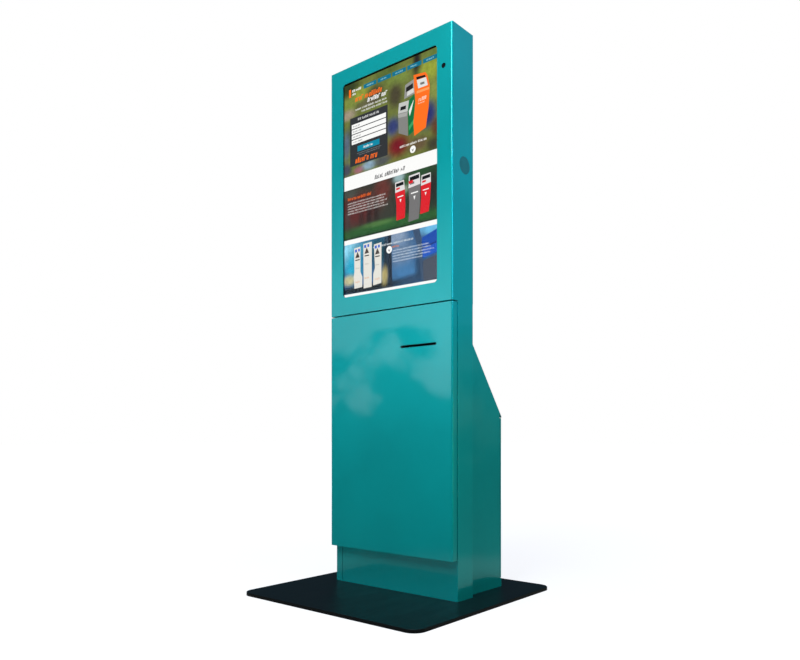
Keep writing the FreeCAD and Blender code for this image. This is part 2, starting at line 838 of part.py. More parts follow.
# ---------------------------------------------------------------- front door
def make_front_door():
    """Deep pan with the ticket slot; the hinge edge has no lip so that it can swing in."""
    body = new_body("front_door")
    outer = rectangle(f"-{HALF}", "door_bottom", HALF, DOOR_TOP)
    inner = rectangle(f"-{INNER}", "door_bottom + gauge", INNER, f"{DOOR_TOP} - gauge")
    pad(body, "XZ_Plane", FACE, [outer], "gauge")
    pad(body, "XZ_Plane", f"{FACE} + gauge", [outer, inner], "door_depth - gauge")
    lip_right = f"({PIVOT_X} - 40)"
    low, high = "(door_bottom + gauge)", f"({DOOR_TOP} - gauge)"
    lips = [
        (f"-{INNER}", low),
        (lip_right, low),
        (lip_right, f"{low} + door_lip"),
        (f"-{INNER} + door_lip", f"{low} + door_lip"),
        (f"-{INNER} + door_lip", f"{high} - door_lip"),
        (lip_right, f"{high} - door_lip"),
        (lip_right, high),
        (f"-{INNER}", high),
    ]
    pan = pad(body, "XZ_Plane", f"{DOOR_BACK} - gauge", [lips], "gauge")
    upright = [(x * amount(HALF), amount(FACE)) for x in (-1, 1)]
    dress(body, "Fillet", pan, edges_along(pan.Shape, "z", upright), Radius="bend_radius")
    slot = (
        "round", "slot_offset - slot_width / 2", "slot_level - slot_height / 2",
        "slot_offset + slot_width / 2", "slot_level + slot_height / 2", "slot_height / 2 - 0.05",
    )
    pocket(body, "XZ_Plane", FACE, [slot], "gauge")


def make_front_hinges():
    """Three concealed hinges: a cranked arm on the column, a leaf in the door, one pin."""
    arms, leaves, pins = [], [], []
    for number in range(3):
        name = f"front_hinge_{number}"
        level = f"(hinge_first + {number} * hinge_pitch)"
        boss = rod(name + "_boss", "z", PIVOT_X, PIVOT_Y, level, "boss_radius", "arm_thickness")
        bar = box(
            name + "_bar",
            (f"{PIVOT_X} - arm_reach", "arm_reach"),
            (f"{PIVOT_Y} - boss_radius", "arm_width"),
            (level, "arm_thickness"),
        )
        leg = box(
            name + "_leg",
            (f"{PIVOT_X} - arm_reach", "arm_width"),
            (f"{PIVOT_Y} - boss_radius", f"{COLUMN} - {PIVOT_Y} + boss_radius"),
            (level, "arm_thickness"),
        )
        foot = box(
            name + "_foot",
            (f"{HALF} - flange_width", "foot_width"),
            (f"{COLUMN} - gauge", "gauge"),
            (f"{level} + arm_thickness / 2 - foot_height / 2", "foot_height"),
        )
        hole = rod(name + "_arm_hole", "z", PIVOT_X, PIVOT_Y, level, "pivot_pin", "arm_thickness")
        arms.append(cut(name + "_arm", fuse(name + "_a", boss, bar, leg, foot), hole))

        upper = f"({level} + arm_thickness + hinge_gap)"
        lug = rod(name + "_lug", "z", PIVOT_X, PIVOT_Y, upper, "boss_radius", "arm_thickness")
        tongue = box(
            name + "_tongue",
            (f"{PIVOT_X} - boss_radius", "2 * boss_radius"),
            (f"{FACE} + gauge", f"{PIVOT_Y} - {FACE} - gauge"),
            (upper, "arm_thickness"),
        )
        plate = box(
            name + "_plate",
            (f"{PIVOT_X} + boss_radius - door_plate_width", "door_plate_width"),
            (f"{FACE} + gauge", "gauge"),
            (f"{upper} + arm_thickness / 2 - door_plate_height / 2", "door_plate_height"),
        )
        bore = rod(
            name + "_bore", "z", PIVOT_X, PIVOT_Y, upper, "pivot_pin + pin_clearance", "arm_thickness"
        )
        leaves.append(cut(name + "_leaf", fuse(name + "_l", lug, tongue, plate), bore))
        shank = rod(
            name + "_shank", "z", PIVOT_X, PIVOT_Y, level, "pivot_pin", "2 * arm_thickness + 1"
        )
        cap = rod(
            name + "_cap", "z", PIVOT_X, PIVOT_Y, f"{level} + 2 * arm_thickness + 2 * hinge_gap",
            "pivot_pin + 1", "pin_cap",
        )
        pins.append(fuse(name + "_pin", shank, cap))
    group("front_hinge_arms", arms)
    group("front_hinge_leaves", leaves)
    group("front_hinge_pins", pins)


def make_front_lock():
    """Hook lock in the column's left side; its hook turns forward over a pin in the door."""
    y, z = LOCK_Y, "lock_level"
    tip = f"(-{HALF} + lock_length)"
    rim = rod(
        "lock_rim", "x", f"-{HALF} - lock_flange_height", y, z, "lock_flange", "lock_flange_height"
    )
    barrel = rod("lock_barrel", "x", f"-{HALF}", y, z, "lock_body", "lock_length - 1")
    nut = rod("lock_nut", "x", f"-{INNER}", y, z, "lock_nut", "lock_nut_height")
    bore = rod(
        "lock_bore", "x", f"-{HALF} - lock_flange_height", y, z, "plug_radius + pin_clearance",
        "lock_length + lock_flange_height",
    )
    keep("front_lock_housing", cut("housing", fuse("housing_solid", rim, barrel, nut), bore))
    core = rod(
        "plug_core", "x", f"-{HALF} - lock_flange_height + plug_sink", y, z, "plug_radius",
        "lock_length + lock_flange_height - plug_sink",
    )
    stud = rod("plug_stud", "x", tip, y, z, "lock_stud", "lock_stud_length")
    key = box(
        "keyway",
        (f"-{HALF} - lock_flange_height + plug_sink", "keyway_depth"),
        (f"{y} - keyway_width / 2", "keyway_width"),
        (f"{z} - keyway_height / 2", "keyway_height"),
    )
    keep("front_lock_plug", cut("plug", fuse("plug_solid", core, stud), key))

    half = "cam_width / 2"
    hook = new_body("front_lock_cam")
    throat = "hook_throat / 2"
    inside = f"{y} + {half} - hook_tip"
    outline = [
        (f"{y} - {half}", f"{z} + {half}"),
        (f"{y} - {half}", f"{z} - hook_reach + {throat}"),
        (inside, f"{z} - hook_reach + {throat}"),
        (inside, f"{z} - hook_reach - {throat}"),
        (f"{y} - {half}", f"{z} - hook_reach - {throat}"),
        (f"{y} - {half}", f"{z} - hook_reach - {throat} - hook_tip"),
        (f"{y} + {half}", f"{z} - hook_reach - {throat} - hook_tip"),
        (f"{y} + {half}", f"{z} + {half}"),
    ]
    pad(hook, "YZ_Plane", tip, [outline, ("circle", y, z, "lock_stud")], "cam_thickness")

    pin_y = f"({LOCK_Y} - hook_reach)"
    sheet_back = f"({FACE} + gauge)"
    left = f"({tip} + cam_thickness / 2 - striker_width / 2)"
    right = f"({left} + striker_width - gauge)"
    ear = (sheet_back, f"{pin_y} - {sheet_back} + 2 * striker_radius")
    ear_height = (f"{z} - striker_height / 4", "striker_height / 2")
    base = box(
        "striker_base",
        (left, "striker_width"),
        (sheet_back, "gauge"),
        (f"{z} - striker_height / 2", "striker_height"),
    )
    ears = [
        box(f"striker_ear_{number}", (x, "gauge"), ear, ear_height)
        for number, x in enumerate((left, right))
    ]
    pin = rod("striker_pin", "x", left, pin_y, z, "striker_radius", "striker_width")
    keep("front_lock_striker", fuse("striker", base, *ears, pin))


def make_door_bumpers():
    """Rubber buffers on the left flange that the closed door rests against."""
    length = f"{COLUMN} - {DOOR_BACK} - hinge_gap"
    x = f"-{HALF} + 8"
    levels = ["door_bottom + 60", "(door_bottom + head_bottom) / 2 + 80", "head_bottom - 60"]
    bumpers = [
        rod(f"bumper_{n}", "y", x, f"{DOOR_BACK} + hinge_gap", level, "bumper_radius", length)
        for n, level in enumerate(levels)
    ]
    group("door_bumpers", bumpers)


# ---------------------------------------------------------------- display head
def make_head_shell():
    """Bent sheet box, open at the back, with the window, camera, port, neck and bolt holes."""
    body = new_body("head_shell")
    low, high = "head_bottom", "kiosk_height"
    outer = rectangle(f"-{HALF}", low, HALF, high)
    inner = rectangle(f"-{INNER}", f"{low} + gauge", INNER, f"{high} - gauge")
    window = ("round", f"-{WINDOW}", "window_bottom", WINDOW, WINDOW_TOP, "window_corner")
    rear = rectangle(
        f"-({INNER} - cover_flange)", f"{low} + gauge + cover_flange",
        f"{INNER} - cover_flange", f"{high} - gauge - cover_flange",
    )
    pad(body, "XZ_Plane", FACE, [outer, window], "gauge")
    pad(body, "XZ_Plane", f"{FACE} + gauge", [outer, inner], "head_depth - gauge")
    flanged = pad(body, "XZ_Plane", f"{BACK} - 2 * gauge", [inner, rear], "gauge")
    upright = [(x * amount(HALF), amount(FACE)) for x in (-1, 1)]
    dress(body, "Fillet", flanged, edges_along(flanged.Shape, "z", upright), Radius="bend_radius")
    pocket(body, "XZ_Plane", FACE, [("circle", "camera_offset", "camera_level", "camera_radius")], "gauge")
    pocket(
        body, "YZ_Plane", INNER,
        [("circle", f"{FACE} + port_setback", "port_level", "port_radius")], "gauge",
    )
    bolts = [("circle", x, y, "head_bolt") for x, y in head_bolt_places()]
    pocket(body, "XY_Plane", low, [neck_rectangle()] + bolts, "gauge")
    screws = [("circle", x, z, "cover_screw") for x, z in cover_screw_places()]
    pocket(body, "XZ_Plane", f"{BACK} - 2 * gauge", screws, "gauge")


def cover_screw_places():
    low, high = "(head_bottom + 60)", "(kiosk_height - 60)"
    return [
        (f"{side} * ({INNER} - cover_flange / 2)", f"{low} + ({high} - {low}) * {step} / 3")
        for side in ("-1", "1")
        for step in range(4)
    ]


def make_head_cover():
    """Flat back cover with vents at the top and bottom, and its screws."""
    body = new_body("head_rear_cover")
    outline = rectangle(
        f"-({INNER} - cover_gap)", "head_bottom + gauge + cover_gap",
        f"{INNER} - cover_gap", "kiosk_height - gauge - cover_gap",
    )
    pad(body, "XZ_Plane", f"{BACK} - gauge", [outline], "gauge")
    holes = [("circle", x, z, "cover_screw + 0.2") for x, z in cover_screw_places()]
    pocket(body, "XZ_Plane", f"{BACK} - gauge", holes, "gauge")
    span = "vent_pitch * (vent_count - 1) + vent_height"
    for low in (f"fan_level - ({span}) / 2", "head_bottom + 60"):
        for side in ("-1", "0", "1"):
            middle = f"{side} * (vent_width + 30)"
            slot = rectangle(
                f"{middle} - vent_width / 2", low, f"{middle} + vent_width / 2", f"{low} + vent_height"
            )
            first = pocket(body, "XZ_Plane", f"{BACK} - gauge", [slot], "gauge")
            repeat_up(body, first, "vent_pitch", "vent_count")

    screws = []
    for number, (x, z) in enumerate(cover_screw_places()):
        shank = rod(f"screw_{number}_shank", "y", x, f"{BACK} - 6", z, "cover_screw", "6")
        head = rod(f"screw_{number}_head", "y", x, BACK, z, "4.5", "2.2")
        recess = rod(f"screw_{number}_recess", "y", x, f"{BACK} + 0.8", z, "1.8", "2")
        screws.append(cut(f"screw_{number}", fuse(f"screw_{number}_solid", shank, head), recess))
    group("cover_screws", screws)


def make_head_bolts():
    """Four bolts clamp the head's floor to the column's top plate."""
    bolts = []
    for number, (x, y) in enumerate(head_bolt_places()):
        top = "head_bottom + gauge"
        shank = rod(f"head_bolt_{number}_shank", "z", x, y, "head_bottom - gauge - 8", "head_bolt", "12")
        head = rod(f"head_bolt_{number}_head", "z", x, y, top, "head_bolt + 2.5", "5")
        nut = rod(
            f"head_bolt_{number}_nut", "z", x, y, "head_bottom - gauge - 6.5", "head_bolt + 2.5", "6.5"
        )
        bolts.append(fuse(f"head_bolt_{number}", shank, head, nut))
    group("head_bolts", bolts)


def make_display():
    """Touch glass on a foam gasket, the display behind it, its rails and its controller."""
    margin = f"({WINDOW} + glass_margin)"
    low, high = "(window_bottom - glass_margin)", f"({WINDOW_TOP} + glass_margin)"
    glass = new_body("touch_glass")
    pad(glass, "XZ_Plane", GLASS, [rectangle(f"-{margin}", low, margin, high)], "glass_thickness")

    gasket = new_body("glass_gasket")
    outer = rectangle(
        f"-({margin} - gasket_inset)", f"{low} + gasket_inset",
        f"{margin} - gasket_inset", f"{high} - gasket_inset",
    )
    inner = ("round", f"-{WINDOW}", "window_bottom", WINDOW, WINDOW_TOP, "window_corner")
    pad(gasket, "XZ_Plane", f"{FACE} + gauge", [outer, inner], "recess_depth - gauge")

    panel = new_body("display_panel")
    side = f"({WINDOW} + panel_margin)"
    low, high = "(window_bottom - panel_margin)", f"({WINDOW_TOP} + panel_margin)"
    pad(panel, "XZ_Plane", PANEL, [rectangle(f"-{side}", low, side, high)], "panel_thickness")
    edge = "panel_edge"
    bosses = [
        rectangle(
            f"{side_x} * rail_span - rail_width", f"{low} + {edge}",
            f"{side_x} * rail_span + rail_width", f"{high} - {edge}",
        )
        for side_x in ("-1", "1")
    ]
    tray = rectangle(
        f"-({side} - {edge})", f"{low} + {edge}", f"{side} - {edge}", f"{high} - {edge}"
    )
    pocket(panel, "XZ_Plane", f"{PANEL_BACK} - panel_step", [tray], "panel_step")
    pad(panel, "XZ_Plane", f"{PANEL_BACK} - panel_step", bosses, "panel_step")

    rails = [
        box(
            f"rail_{name}",
            (x, "rail_width"),
            (PANEL_BACK, "rail_thickness"),
            ("head_bottom + gauge", "kiosk_height - head_bottom - 2 * gauge"),
        )
        for name, x in (("left", "-rail_span - rail_width / 2"), ("right", "rail_span - rail_width / 2"))
    ]
    group("display_rails", rails)

    keep(
        "display_controller",
        box(
            "controller_box",
            ("-controller_width / 2", "controller_width"),
            (PANEL_BACK, "controller_thickness"),
            ("controller_level", "controller_height"),
        ),
    )


def make_camera():
    """Small round window in the bezel and the camera behind it."""
    x, z = "camera_offset", "camera_level"
    keep(
        "camera_window",
        rod("camera_disc", "y", x, f"{FACE} + panel_gap", z, "camera_radius - 0.1", "gauge"),
    )
    half = "(camera_size / 2)"
    front = f"({FACE} + gauge + panel_gap)"
    tab = (f"{z} - {half} + gauge / 2", "camera_size - gauge")
    block = box(
        "camera_block",
        (f"{x} - {half}", "camera_size"),
        (front, "camera_depth"),
        (f"{z} - {half}", "camera_size"),
    )
    bridge = box(
        "camera_bridge",
        (x, f"{INNER} - {x}"),
        (f"{front} + camera_depth - gauge", "gauge"),
        tab,
    )
    foot = box(
        "camera_foot", (f"{INNER} - gauge", "gauge"), (f"{front} + camera_depth / 2", "camera_depth"), tab
    )
    keep("camera_module", fuse("camera", block, bridge, foot))


def make_port_cap():
    """Blanking cap of the round accessory port in the head's right side."""
    y, z = f"{FACE} + port_setback", "port_level"
    start = f"{INNER} - cap_rim_height"
    face = rod("port_face", "x", start, y, z, "port_radius - 0.3", "cap_rim_height + gauge")
    rim = rod("port_rim", "x", start, y, z, "port_radius + cap_rim", "cap_rim_height")
    hollow = rod("port_hollow", "x", start, y, z, "port_radius - 2 * cap_rim", "cap_rim_height")
    keep("side_port_cap", cut("port_cap", fuse("port_solid", face, rim), hollow))


def make_fan():
    """Exhaust fan behind the top vents: square frame with a four-arm motor seat, and its rotor."""
    start = f"({BACK} - gauge - fan_depth)"
    half = "(fan_side / 2)"
    body = new_body("fan_frame")
    outline = ("round", f"-{half}", f"fan_level - {half}", half, f"fan_level + {half}", "4")
    pad(body, "XZ_Plane", start, [outline, ("circle", "0", "fan_level", "fan_bore")], "fan_depth")
    across = rectangle("-fan_bore - 0.5", "fan_level - 2", "fan_bore + 0.5", "fan_level + 2")
    upright = rectangle("-2", "fan_level - fan_bore - 0.5", "2", "fan_level + fan_bore + 0.5")
    pad(body, "XZ_Plane", start, [across], "3")
    pad(body, "XZ_Plane", start, [upright], "3")
    pad(body, "XZ_Plane", start, [("circle", "0", "fan_level", "fan_hub")], "3")
    pad(body, "XZ_Plane", start, [("circle", "0", "fan_level", "3")], "8")

    rotor = new_body("fan_rotor")
    bind(rotor, y=f"{start} + 3.5", z="fan_level")
    pad(rotor, "XZ_Plane", "0", [("circle", "0", "0", "fan_hub")], "fan_depth - 6")
    pocket(rotor, "XZ_Plane", "0", [("circle", "0", "0", "3 + pin_clearance")], "6")
    blade = [
        ("-2", "fan_hub - 1.5"),
        ("1", "fan_hub - 1.5"),
        ("9", "fan_bore - 2"),
        ("5", "fan_bore - 2"),
    ]
    first = pad(rotor, "XZ_Plane", "3", [blade], "fan_depth - 12")
    repeat_round(rotor, first, "Y_Axis", "blade_count")


# ---------------------------------------------------------------- shelf, printer, computer
def make_shelf():
    """Tray across the cabinet with its front and rear edges turned down."""
    start = f"({COLUMN} + shelf_front)"
    body = new_body("equipment_shelf")
    outline = [
        (start, SHELF),
        (f"{start} + shelf_depth", SHELF),
        (f"{start} + shelf_depth", f"{SHELF} - shelf_flange"),
        (f"{start} + shelf_depth - gauge", f"{SHELF} - shelf_flange"),
        (f"{start} + shelf_depth - gauge", "shelf_level"),
        (f"{start} + gauge", "shelf_level"),
        (f"{start} + gauge", f"{SHELF} - shelf_flange"),
        (start, f"{SHELF} - shelf_flange"),
    ]
    pad(body, "YZ_Plane", f"-{CAB_INNER}", [outline], f"2 * {CAB_INNER}")


ROLL_Y = f"({FACE} + roll_setback)"
ROLL_Z = f"({SHELF} + roll_lift)"
PLATEN_Y = f"({FACE} + platen_setback)"
PLATEN_Z = "(slot_level - platen_radius - 0.3)"
GEAR_SPAN = "(gear_module * (gear_teeth + pinion_teeth) / 2)"
PINION_Z = f"({PLATEN_Z} - {GEAR_SPAN})"
PRINTER_FRONT = f"({COLUMN} + 8)"
LEVER_Y = f"({FACE} + 88)"
LEVER_Z = "(slot_level + 9)"


def across(name, x, y, z, radius, length):
    """A rod along X, placed from the printer's own middle."""
    return rod(name, "x", f"slot_offset + {x}", y, z, radius, length)


def make_printer_chassis():
    """U of sheet steel: two cheeks on a floor, drilled for the spindle, platen, motor and lever."""
    body = new_body("printer_chassis")
    high = "(slot_level + 21)"
    outline = [
        (PRINTER_FRONT, SHELF),
        (f"{PRINTER_FRONT} + 150", SHELF),
        (f"{PRINTER_FRONT} + 150", f"{SHELF} + 88"),
        (f"{PRINTER_FRONT} + 83", high),
        (PRINTER_FRONT, high),
    ]
    floor = rectangle(
        f"slot_offset - {CHEEK}", PRINTER_FRONT, f"slot_offset + {CHEEK}", f"{PRINTER_FRONT} + 150"
    )
    pad(body, "YZ_Plane", f"slot_offset - {CHEEK} - gauge", [outline], "gauge")
    pad(body, "XY_Plane", SHELF, [floor], "gauge")
    pad(body, "YZ_Plane", f"slot_offset + {CHEEK}", [outline], "gauge")
    both = [
        ("circle", ROLL_Y, ROLL_Z, "spindle_radius + pin_clearance"),
        ("circle", PLATEN_Y, PLATEN_Z, "shaft_radius + pin_clearance"),
    ]
    pocket(body, "YZ_Plane", f"slot_offset - {CHEEK} - gauge", both, f"2 * {CHEEK} + 2 * gauge")
    left = [("circle", LEVER_Y, LEVER_Z, "lever_radius + pin_clearance")]
    pocket(body, "YZ_Plane", f"slot_offset - {CHEEK} - gauge", left, "gauge")
    right = [("circle", PLATEN_Y, PINION_Z, "4")]
    pocket(body, "YZ_Plane", f"slot_offset + {CHEEK}", right, "gauge")


def make_paper():
    """Paper roll on its spindle."""
    half = "(paper_width / 2)"
    roll = across("roll_paper", f"-{half}", ROLL_Y, ROLL_Z, "roll_radius", "paper_width")
    core = across("roll_core", f"-{half}", ROLL_Y, ROLL_Z, "spindle_radius", "paper_width")
    keep("paper_roll", cut("roll", roll, core))
    length = f"2 * {CHEEK} + 2 * gauge + 4"
    spindle = across("spindle_rod", f"-{CHEEK} - gauge - 2", ROLL_Y, ROLL_Z, "spindle_radius", length)
    groove = across("spindle_end", f"-{CHEEK} - gauge - 2", ROLL_Y, ROLL_Z, "2", "3")
    keep("roll_spindle", cut("spindle", spindle, groove))


def gear(label, teeth, turn, x, y, z, bore):
    """Spur gear with plain flanks and wide backlash, its first tooth turned by "turn" degrees."""
    body = new_body(label)
    body.Placement = Placement(Vector(), Rotation(Vector(1, 0, 0), turn))
    bind(body, x=x, y=y, z=z)
    pitch = f"(gear_module * {teeth} / 2)"
    root = f"({pitch} - 1.25 * gear_module)"
    tip = f"({pitch} + 0.8 * gear_module)"
    pad(body, "YZ_Plane", "0", [("circle", "0", "0", root), ("circle", "0", "0", bore)], "gear_width")
    tooth = [
        (f"{root} - 0.4", "-0.95 * gear_module"),
        (f"{pitch}", "-0.62 * gear_module"),
        (tip, "-0.3 * gear_module"),
        (tip, "0.3 * gear_module"),
        (f"{pitch}", "0.62 * gear_module"),
        (f"{root} - 0.4", "0.95 * gear_module"),
    ]
    first = pad(body, "YZ_Plane", "0", [tooth], "gear_width")
    repeat_round(body, first, "X_Axis", teeth)
    return body


def make_feed():
    """Rubber platen on its shaft, the gear pair outside the right cheek, and the motor."""
    half = "(paper_width / 2 + 2)"
    rubber = across("platen_rubber", f"-{half}", PLATEN_Y, PLATEN_Z, "platen_radius", f"2 * {half}")
    shaft = across(
        "platen_shaft", f"-{CHEEK} - gauge - 2", PLATEN_Y, PLATEN_Z, "shaft_radius",
        f"2 * {CHEEK} + 2 * gauge + 4 + gear_width",
    )
    keep("platen_roller", fuse("platen", rubber, shaft))
    gear_x = f"slot_offset + {CHEEK} + gauge + 1.5"
    gear("platen_gear", "gear_teeth", -90, gear_x, PLATEN_Y, PLATEN_Z, "shaft_radius")
    half_tooth = 180.0 / SIZES["pinion_teeth"]
    pinion = gear(
        "motor_pinion", "pinion_teeth", 90 + half_tooth, gear_x, PLATEN_Y, PINION_Z, "0.5"
    )
    pad(pinion, "YZ_Plane", "-6 - gauge", [("circle", "0", "0", "2")], "6 + gauge + gear_width + 1")
    can = across(
        "motor_can", f"{CHEEK} - motor_length", PLATEN_Y, PINION_Z, "motor_radius", "motor_length"
    )
    eye = across("motor_eye", f"{CHEEK} - 8", PLATEN_Y, PINION_Z, "2 + pin_clearance", "8")
    keep("feed_motor", cut("motor", can, eye))


def make_print_head():
    """Thermal head with cooling fins, held just above the platen."""
    body = new_body("print_head")
    front = f"({PLATEN_Y} - 11)"
    outline = rectangle(front, "slot_level + 0.4", f"{front} + 26", "slot_level + 17")
    pad(body, "YZ_Plane", f"slot_offset - {CHEEK}", [outline], f"2 * {CHEEK}")
    fin = rectangle(f"{front} + 4", "slot_level + 9", f"{front} + 7", "slot_level + 18")
    for step in range(3):
        moved = [(f"{y} + {step} * 7", z) for y, z in fin]
        pocket(body, "YZ_Plane", f"slot_offset - {CHEEK} + 6", [moved], f"2 * {CHEEK} - 12")


def make_cutter():
    """Knife block with a straight slot for the ticket."""
    body = new_body("cutter_unit")
    half = f"({CHEEK} - 0.3)"
    outer = rectangle(
        f"slot_offset - {half}", "slot_level - 17", f"slot_offset + {half}", "slot_level + 17"
    )
    gap = rectangle(
        f"slot_offset - {half} + 3", "slot_level - path_height / 2",
        f"slot_offset + {half} - 3", "slot_level + path_height / 2",
    )
    pad(body, "XZ_Plane", f"{PRINTER_FRONT} + 3", [outer, gap], "22")


def make_chute():
    """Two-part black mouth that leads the ticket from the cutter to the door's slot."""
    start = f"({FACE} + gauge + 1)"
    length = f"{PRINTER_FRONT} - 0.5 - {start}"
    low = "(slot_level - path_height / 2)"
    high = "(slot_level + path_height / 2)"
    half = f"({CHEEK} + 5)"
    tray = new_body("ticket_chute_lower")
    outline = [
        (f"slot_offset - {half}", f"{low} - chute_wall"),
        (f"slot_offset + {half}", f"{low} - chute_wall"),
        (f"slot_offset + {half}", high),
        (f"slot_offset + {half} - chute_wall", high),
        (f"slot_offset + {half} - chute_wall", low),
        (f"slot_offset - {half} + chute_wall", low),
        (f"slot_offset - {half} + chute_wall", high),
        (f"slot_offset - {half}", high),
    ]
    pad(tray, "XZ_Plane", start, [outline], length)
    lid = new_body("ticket_chute_upper")
    outline = rectangle(
        f"slot_offset - {half}", high, f"slot_offset + {half}", f"{high} + chute_wall"
    )
    pad(lid, "XZ_Plane", start, [outline], length)


def make_lever():
    """Head release lever on the left cheek, with a thumb tab at its front end."""
    x = f"-{CHEEK} - gauge - 4"
    tip = f"({LEVER_Y} - lever_length)"
    hub = across("lever_hub", x, LEVER_Y, LEVER_Z, "6", "3")
    bar = box(
        "lever_bar",
        (f"slot_offset + {x}", "3"),
        (tip, "lever_length"),
        (f"{LEVER_Z} - 3", "6"),
    )
    pin = across("lever_pin", x, LEVER_Y, LEVER_Z, "lever_radius", "gauge + 4")
    thumb = rod("lever_thumb", "x", f"slot_offset + {x} - 12", tip, LEVER_Z, "5", "15")
    keep("head_release_lever", fuse("lever", hub, bar, pin, thumb))


def make_computer():
    """Fanless computer with a finned lid and one push button."""
    left = "(computer_right - computer_width)"
    start = f"({COLUMN} + 9)"
    body = new_body("computer_case")
    outline = rectangle(left, start, "computer_right", f"{start} + computer_depth")
    pad(body, "XY_Plane", SHELF, [outline], "computer_height")
    groove = rectangle(f"{left} + 8", start, f"{left} + 12", f"{start} + computer_depth")
    count = 16
    step = f"(computer_width - 20) / {count - 1}"
    loops = [
        [(f"{x} + {n} * {step}", y) for x, y in groove]
        for n in range(count)
    ]
    pocket(body, "XY_Plane", f"{SHELF} + computer_height - 9", loops, "9")
    eye = [("circle", "computer_right - 30", f"{SHELF} + 20", "button_radius + 0.3")]
    pocket(body, "XZ_Plane", start, eye, "9")
    face = rod(
        "button_cap", "y", "computer_right - 30", f"{start} - 2", f"{SHELF} + 20", "button_radius", "8"
    )
    keep("computer_button", face)


def make_power():
    """Mains distribution box on the floor with three outlets and a rocker switch."""
    left, start = "(-cabinet_width / 2 + 38)", f"({BACK} + 33)"
    rear = f"({start} + power_depth)"
    body = new_body("power_box")
    outline = ("round", left, start, f"{left} + power_width", rear, "3")
    pad(body, "XY_Plane", FLOOR, [outline], "power_height")
    outlets = [
        ("circle", f"{left} + {x}", f"{FLOOR} + power_height / 2", "12") for x in (24, 54, 84)
    ]
    pocket(body, "XZ_Plane", f"{rear} - 6", outlets, "6")
    well = rectangle(
        f"{left} + 106", f"{FLOOR} + power_height / 2 - 11",
        f"{left} + 107 + rocker_width", f"{FLOOR} + power_height / 2 + 11",
    )
    pocket(body, "XZ_Plane", f"{rear} - 10", [well], "10")

    x, z = f"({left} + 106.5)", f"({FLOOR} + power_height / 2)"
    rocker = new_body("power_rocker")
    outline = [
        (f"{rear} - 5", f"{z} - 8.5"),
        (f"{rear} - 0.4", f"{z} - 9.6"),
        (f"{rear} + 0.6", f"{z}"),
        (f"{rear} + 2.6", f"{z} + 9.2"),
        (f"{rear} - 3.5", f"{z} + 9.6"),
        (f"{rear} - 6.5", f"{z}"),
    ]
    pad(rocker, "YZ_Plane", x, [outline], "rocker_width")
    axle = ("circle", f"{rear} - 3.5", z, "2.5")
    pad(rocker, "YZ_Plane", f"{x} - 0.4", [axle], "rocker_width + 0.8")


# ---------------------------------------------------------------- build and write
def build_all():
    make_base_plate()
    make_cable_grommet()
    make_floor_brackets()
    make_column_sides()
    make_column_top()
    make_rear_cabinet()
    make_rear_door()
    make_rear_hinges()
    make_rear_lock()
    make_front_door()
    make_front_hinges()
    make_front_lock()
    make_door_bumpers()
    make_head_shell()
    make_head_cover()
    make_head_bolts()
    make_display()
    make_camera()
    make_port_cap()
    make_fan()
    make_shelf()
    make_printer_chassis()
    make_paper()
    make_feed()
    make_print_head()
    make_cutter()
    make_chute()
    make_lever()
    make_computer()
    make_power()
    doc.recompute()


def check_all():
    for thing in doc.Objects:
        bad = [state for state in thing.State if state in ("Invalid", "Error")]
        if bad:
            raise RuntimeError(f"{thing.Label} is {bad[0]}")
    for label, thing in NODES.items():
        shape = thing.Shape
        if shape.isNull() or not shape.isValid() or not shape.Solids:
            raise RuntimeError(f"{label} has no valid solid")


def write_all():
    os.makedirs("parts", exist_ok=True)
    for old in os.listdir("parts"):
        if old.endswith(".step"):
            os.remove(os.path.join("parts", old))
    for label, thing in NODES.items():
        thing.Shape.exportStep(os.path.join("parts", label + ".step"))
    print(f"wrote {len(NODES)} sub-parts")


build_all()
check_all()
write_all()
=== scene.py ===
"""Finishes a free-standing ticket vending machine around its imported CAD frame.

Every new piece is made in metres in the machine's frame: X runs to the right of someone who faces the
display, Y from the display to the back and Z up. Each operator below makes one piece or one group of like
pieces, and the stage operator adds the floor, the lights and the camera.
"""

import json
import math
import random

import bmesh
import bpy
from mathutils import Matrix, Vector


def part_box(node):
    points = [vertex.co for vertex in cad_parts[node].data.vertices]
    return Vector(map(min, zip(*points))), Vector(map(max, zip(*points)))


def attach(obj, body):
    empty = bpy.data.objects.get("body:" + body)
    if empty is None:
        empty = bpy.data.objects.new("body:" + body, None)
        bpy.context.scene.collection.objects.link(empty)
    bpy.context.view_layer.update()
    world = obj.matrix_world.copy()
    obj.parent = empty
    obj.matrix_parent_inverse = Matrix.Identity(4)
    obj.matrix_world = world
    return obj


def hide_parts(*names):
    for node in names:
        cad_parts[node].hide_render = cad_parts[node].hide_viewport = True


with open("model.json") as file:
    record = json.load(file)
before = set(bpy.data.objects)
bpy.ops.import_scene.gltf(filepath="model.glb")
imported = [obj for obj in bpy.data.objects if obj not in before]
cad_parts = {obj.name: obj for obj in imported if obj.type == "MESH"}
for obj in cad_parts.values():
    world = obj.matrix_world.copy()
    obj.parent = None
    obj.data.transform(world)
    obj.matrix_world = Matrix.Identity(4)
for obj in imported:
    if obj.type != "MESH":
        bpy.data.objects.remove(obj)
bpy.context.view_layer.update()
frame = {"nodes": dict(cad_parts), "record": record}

bl_info = {
    "name": "Ticket vending machine",
    "version": (1, 0, 0),
    "blender": (4, 5, 0),
    "location": "3D View > Sidebar > Kiosk",
    "description": "Dresses a teal ticket kiosk: paint, display picture, printer, fan guard and studio stage",
    "category": "Add Mesh",
}

FRONT = Vector((0.0, -1.0, 0.0))

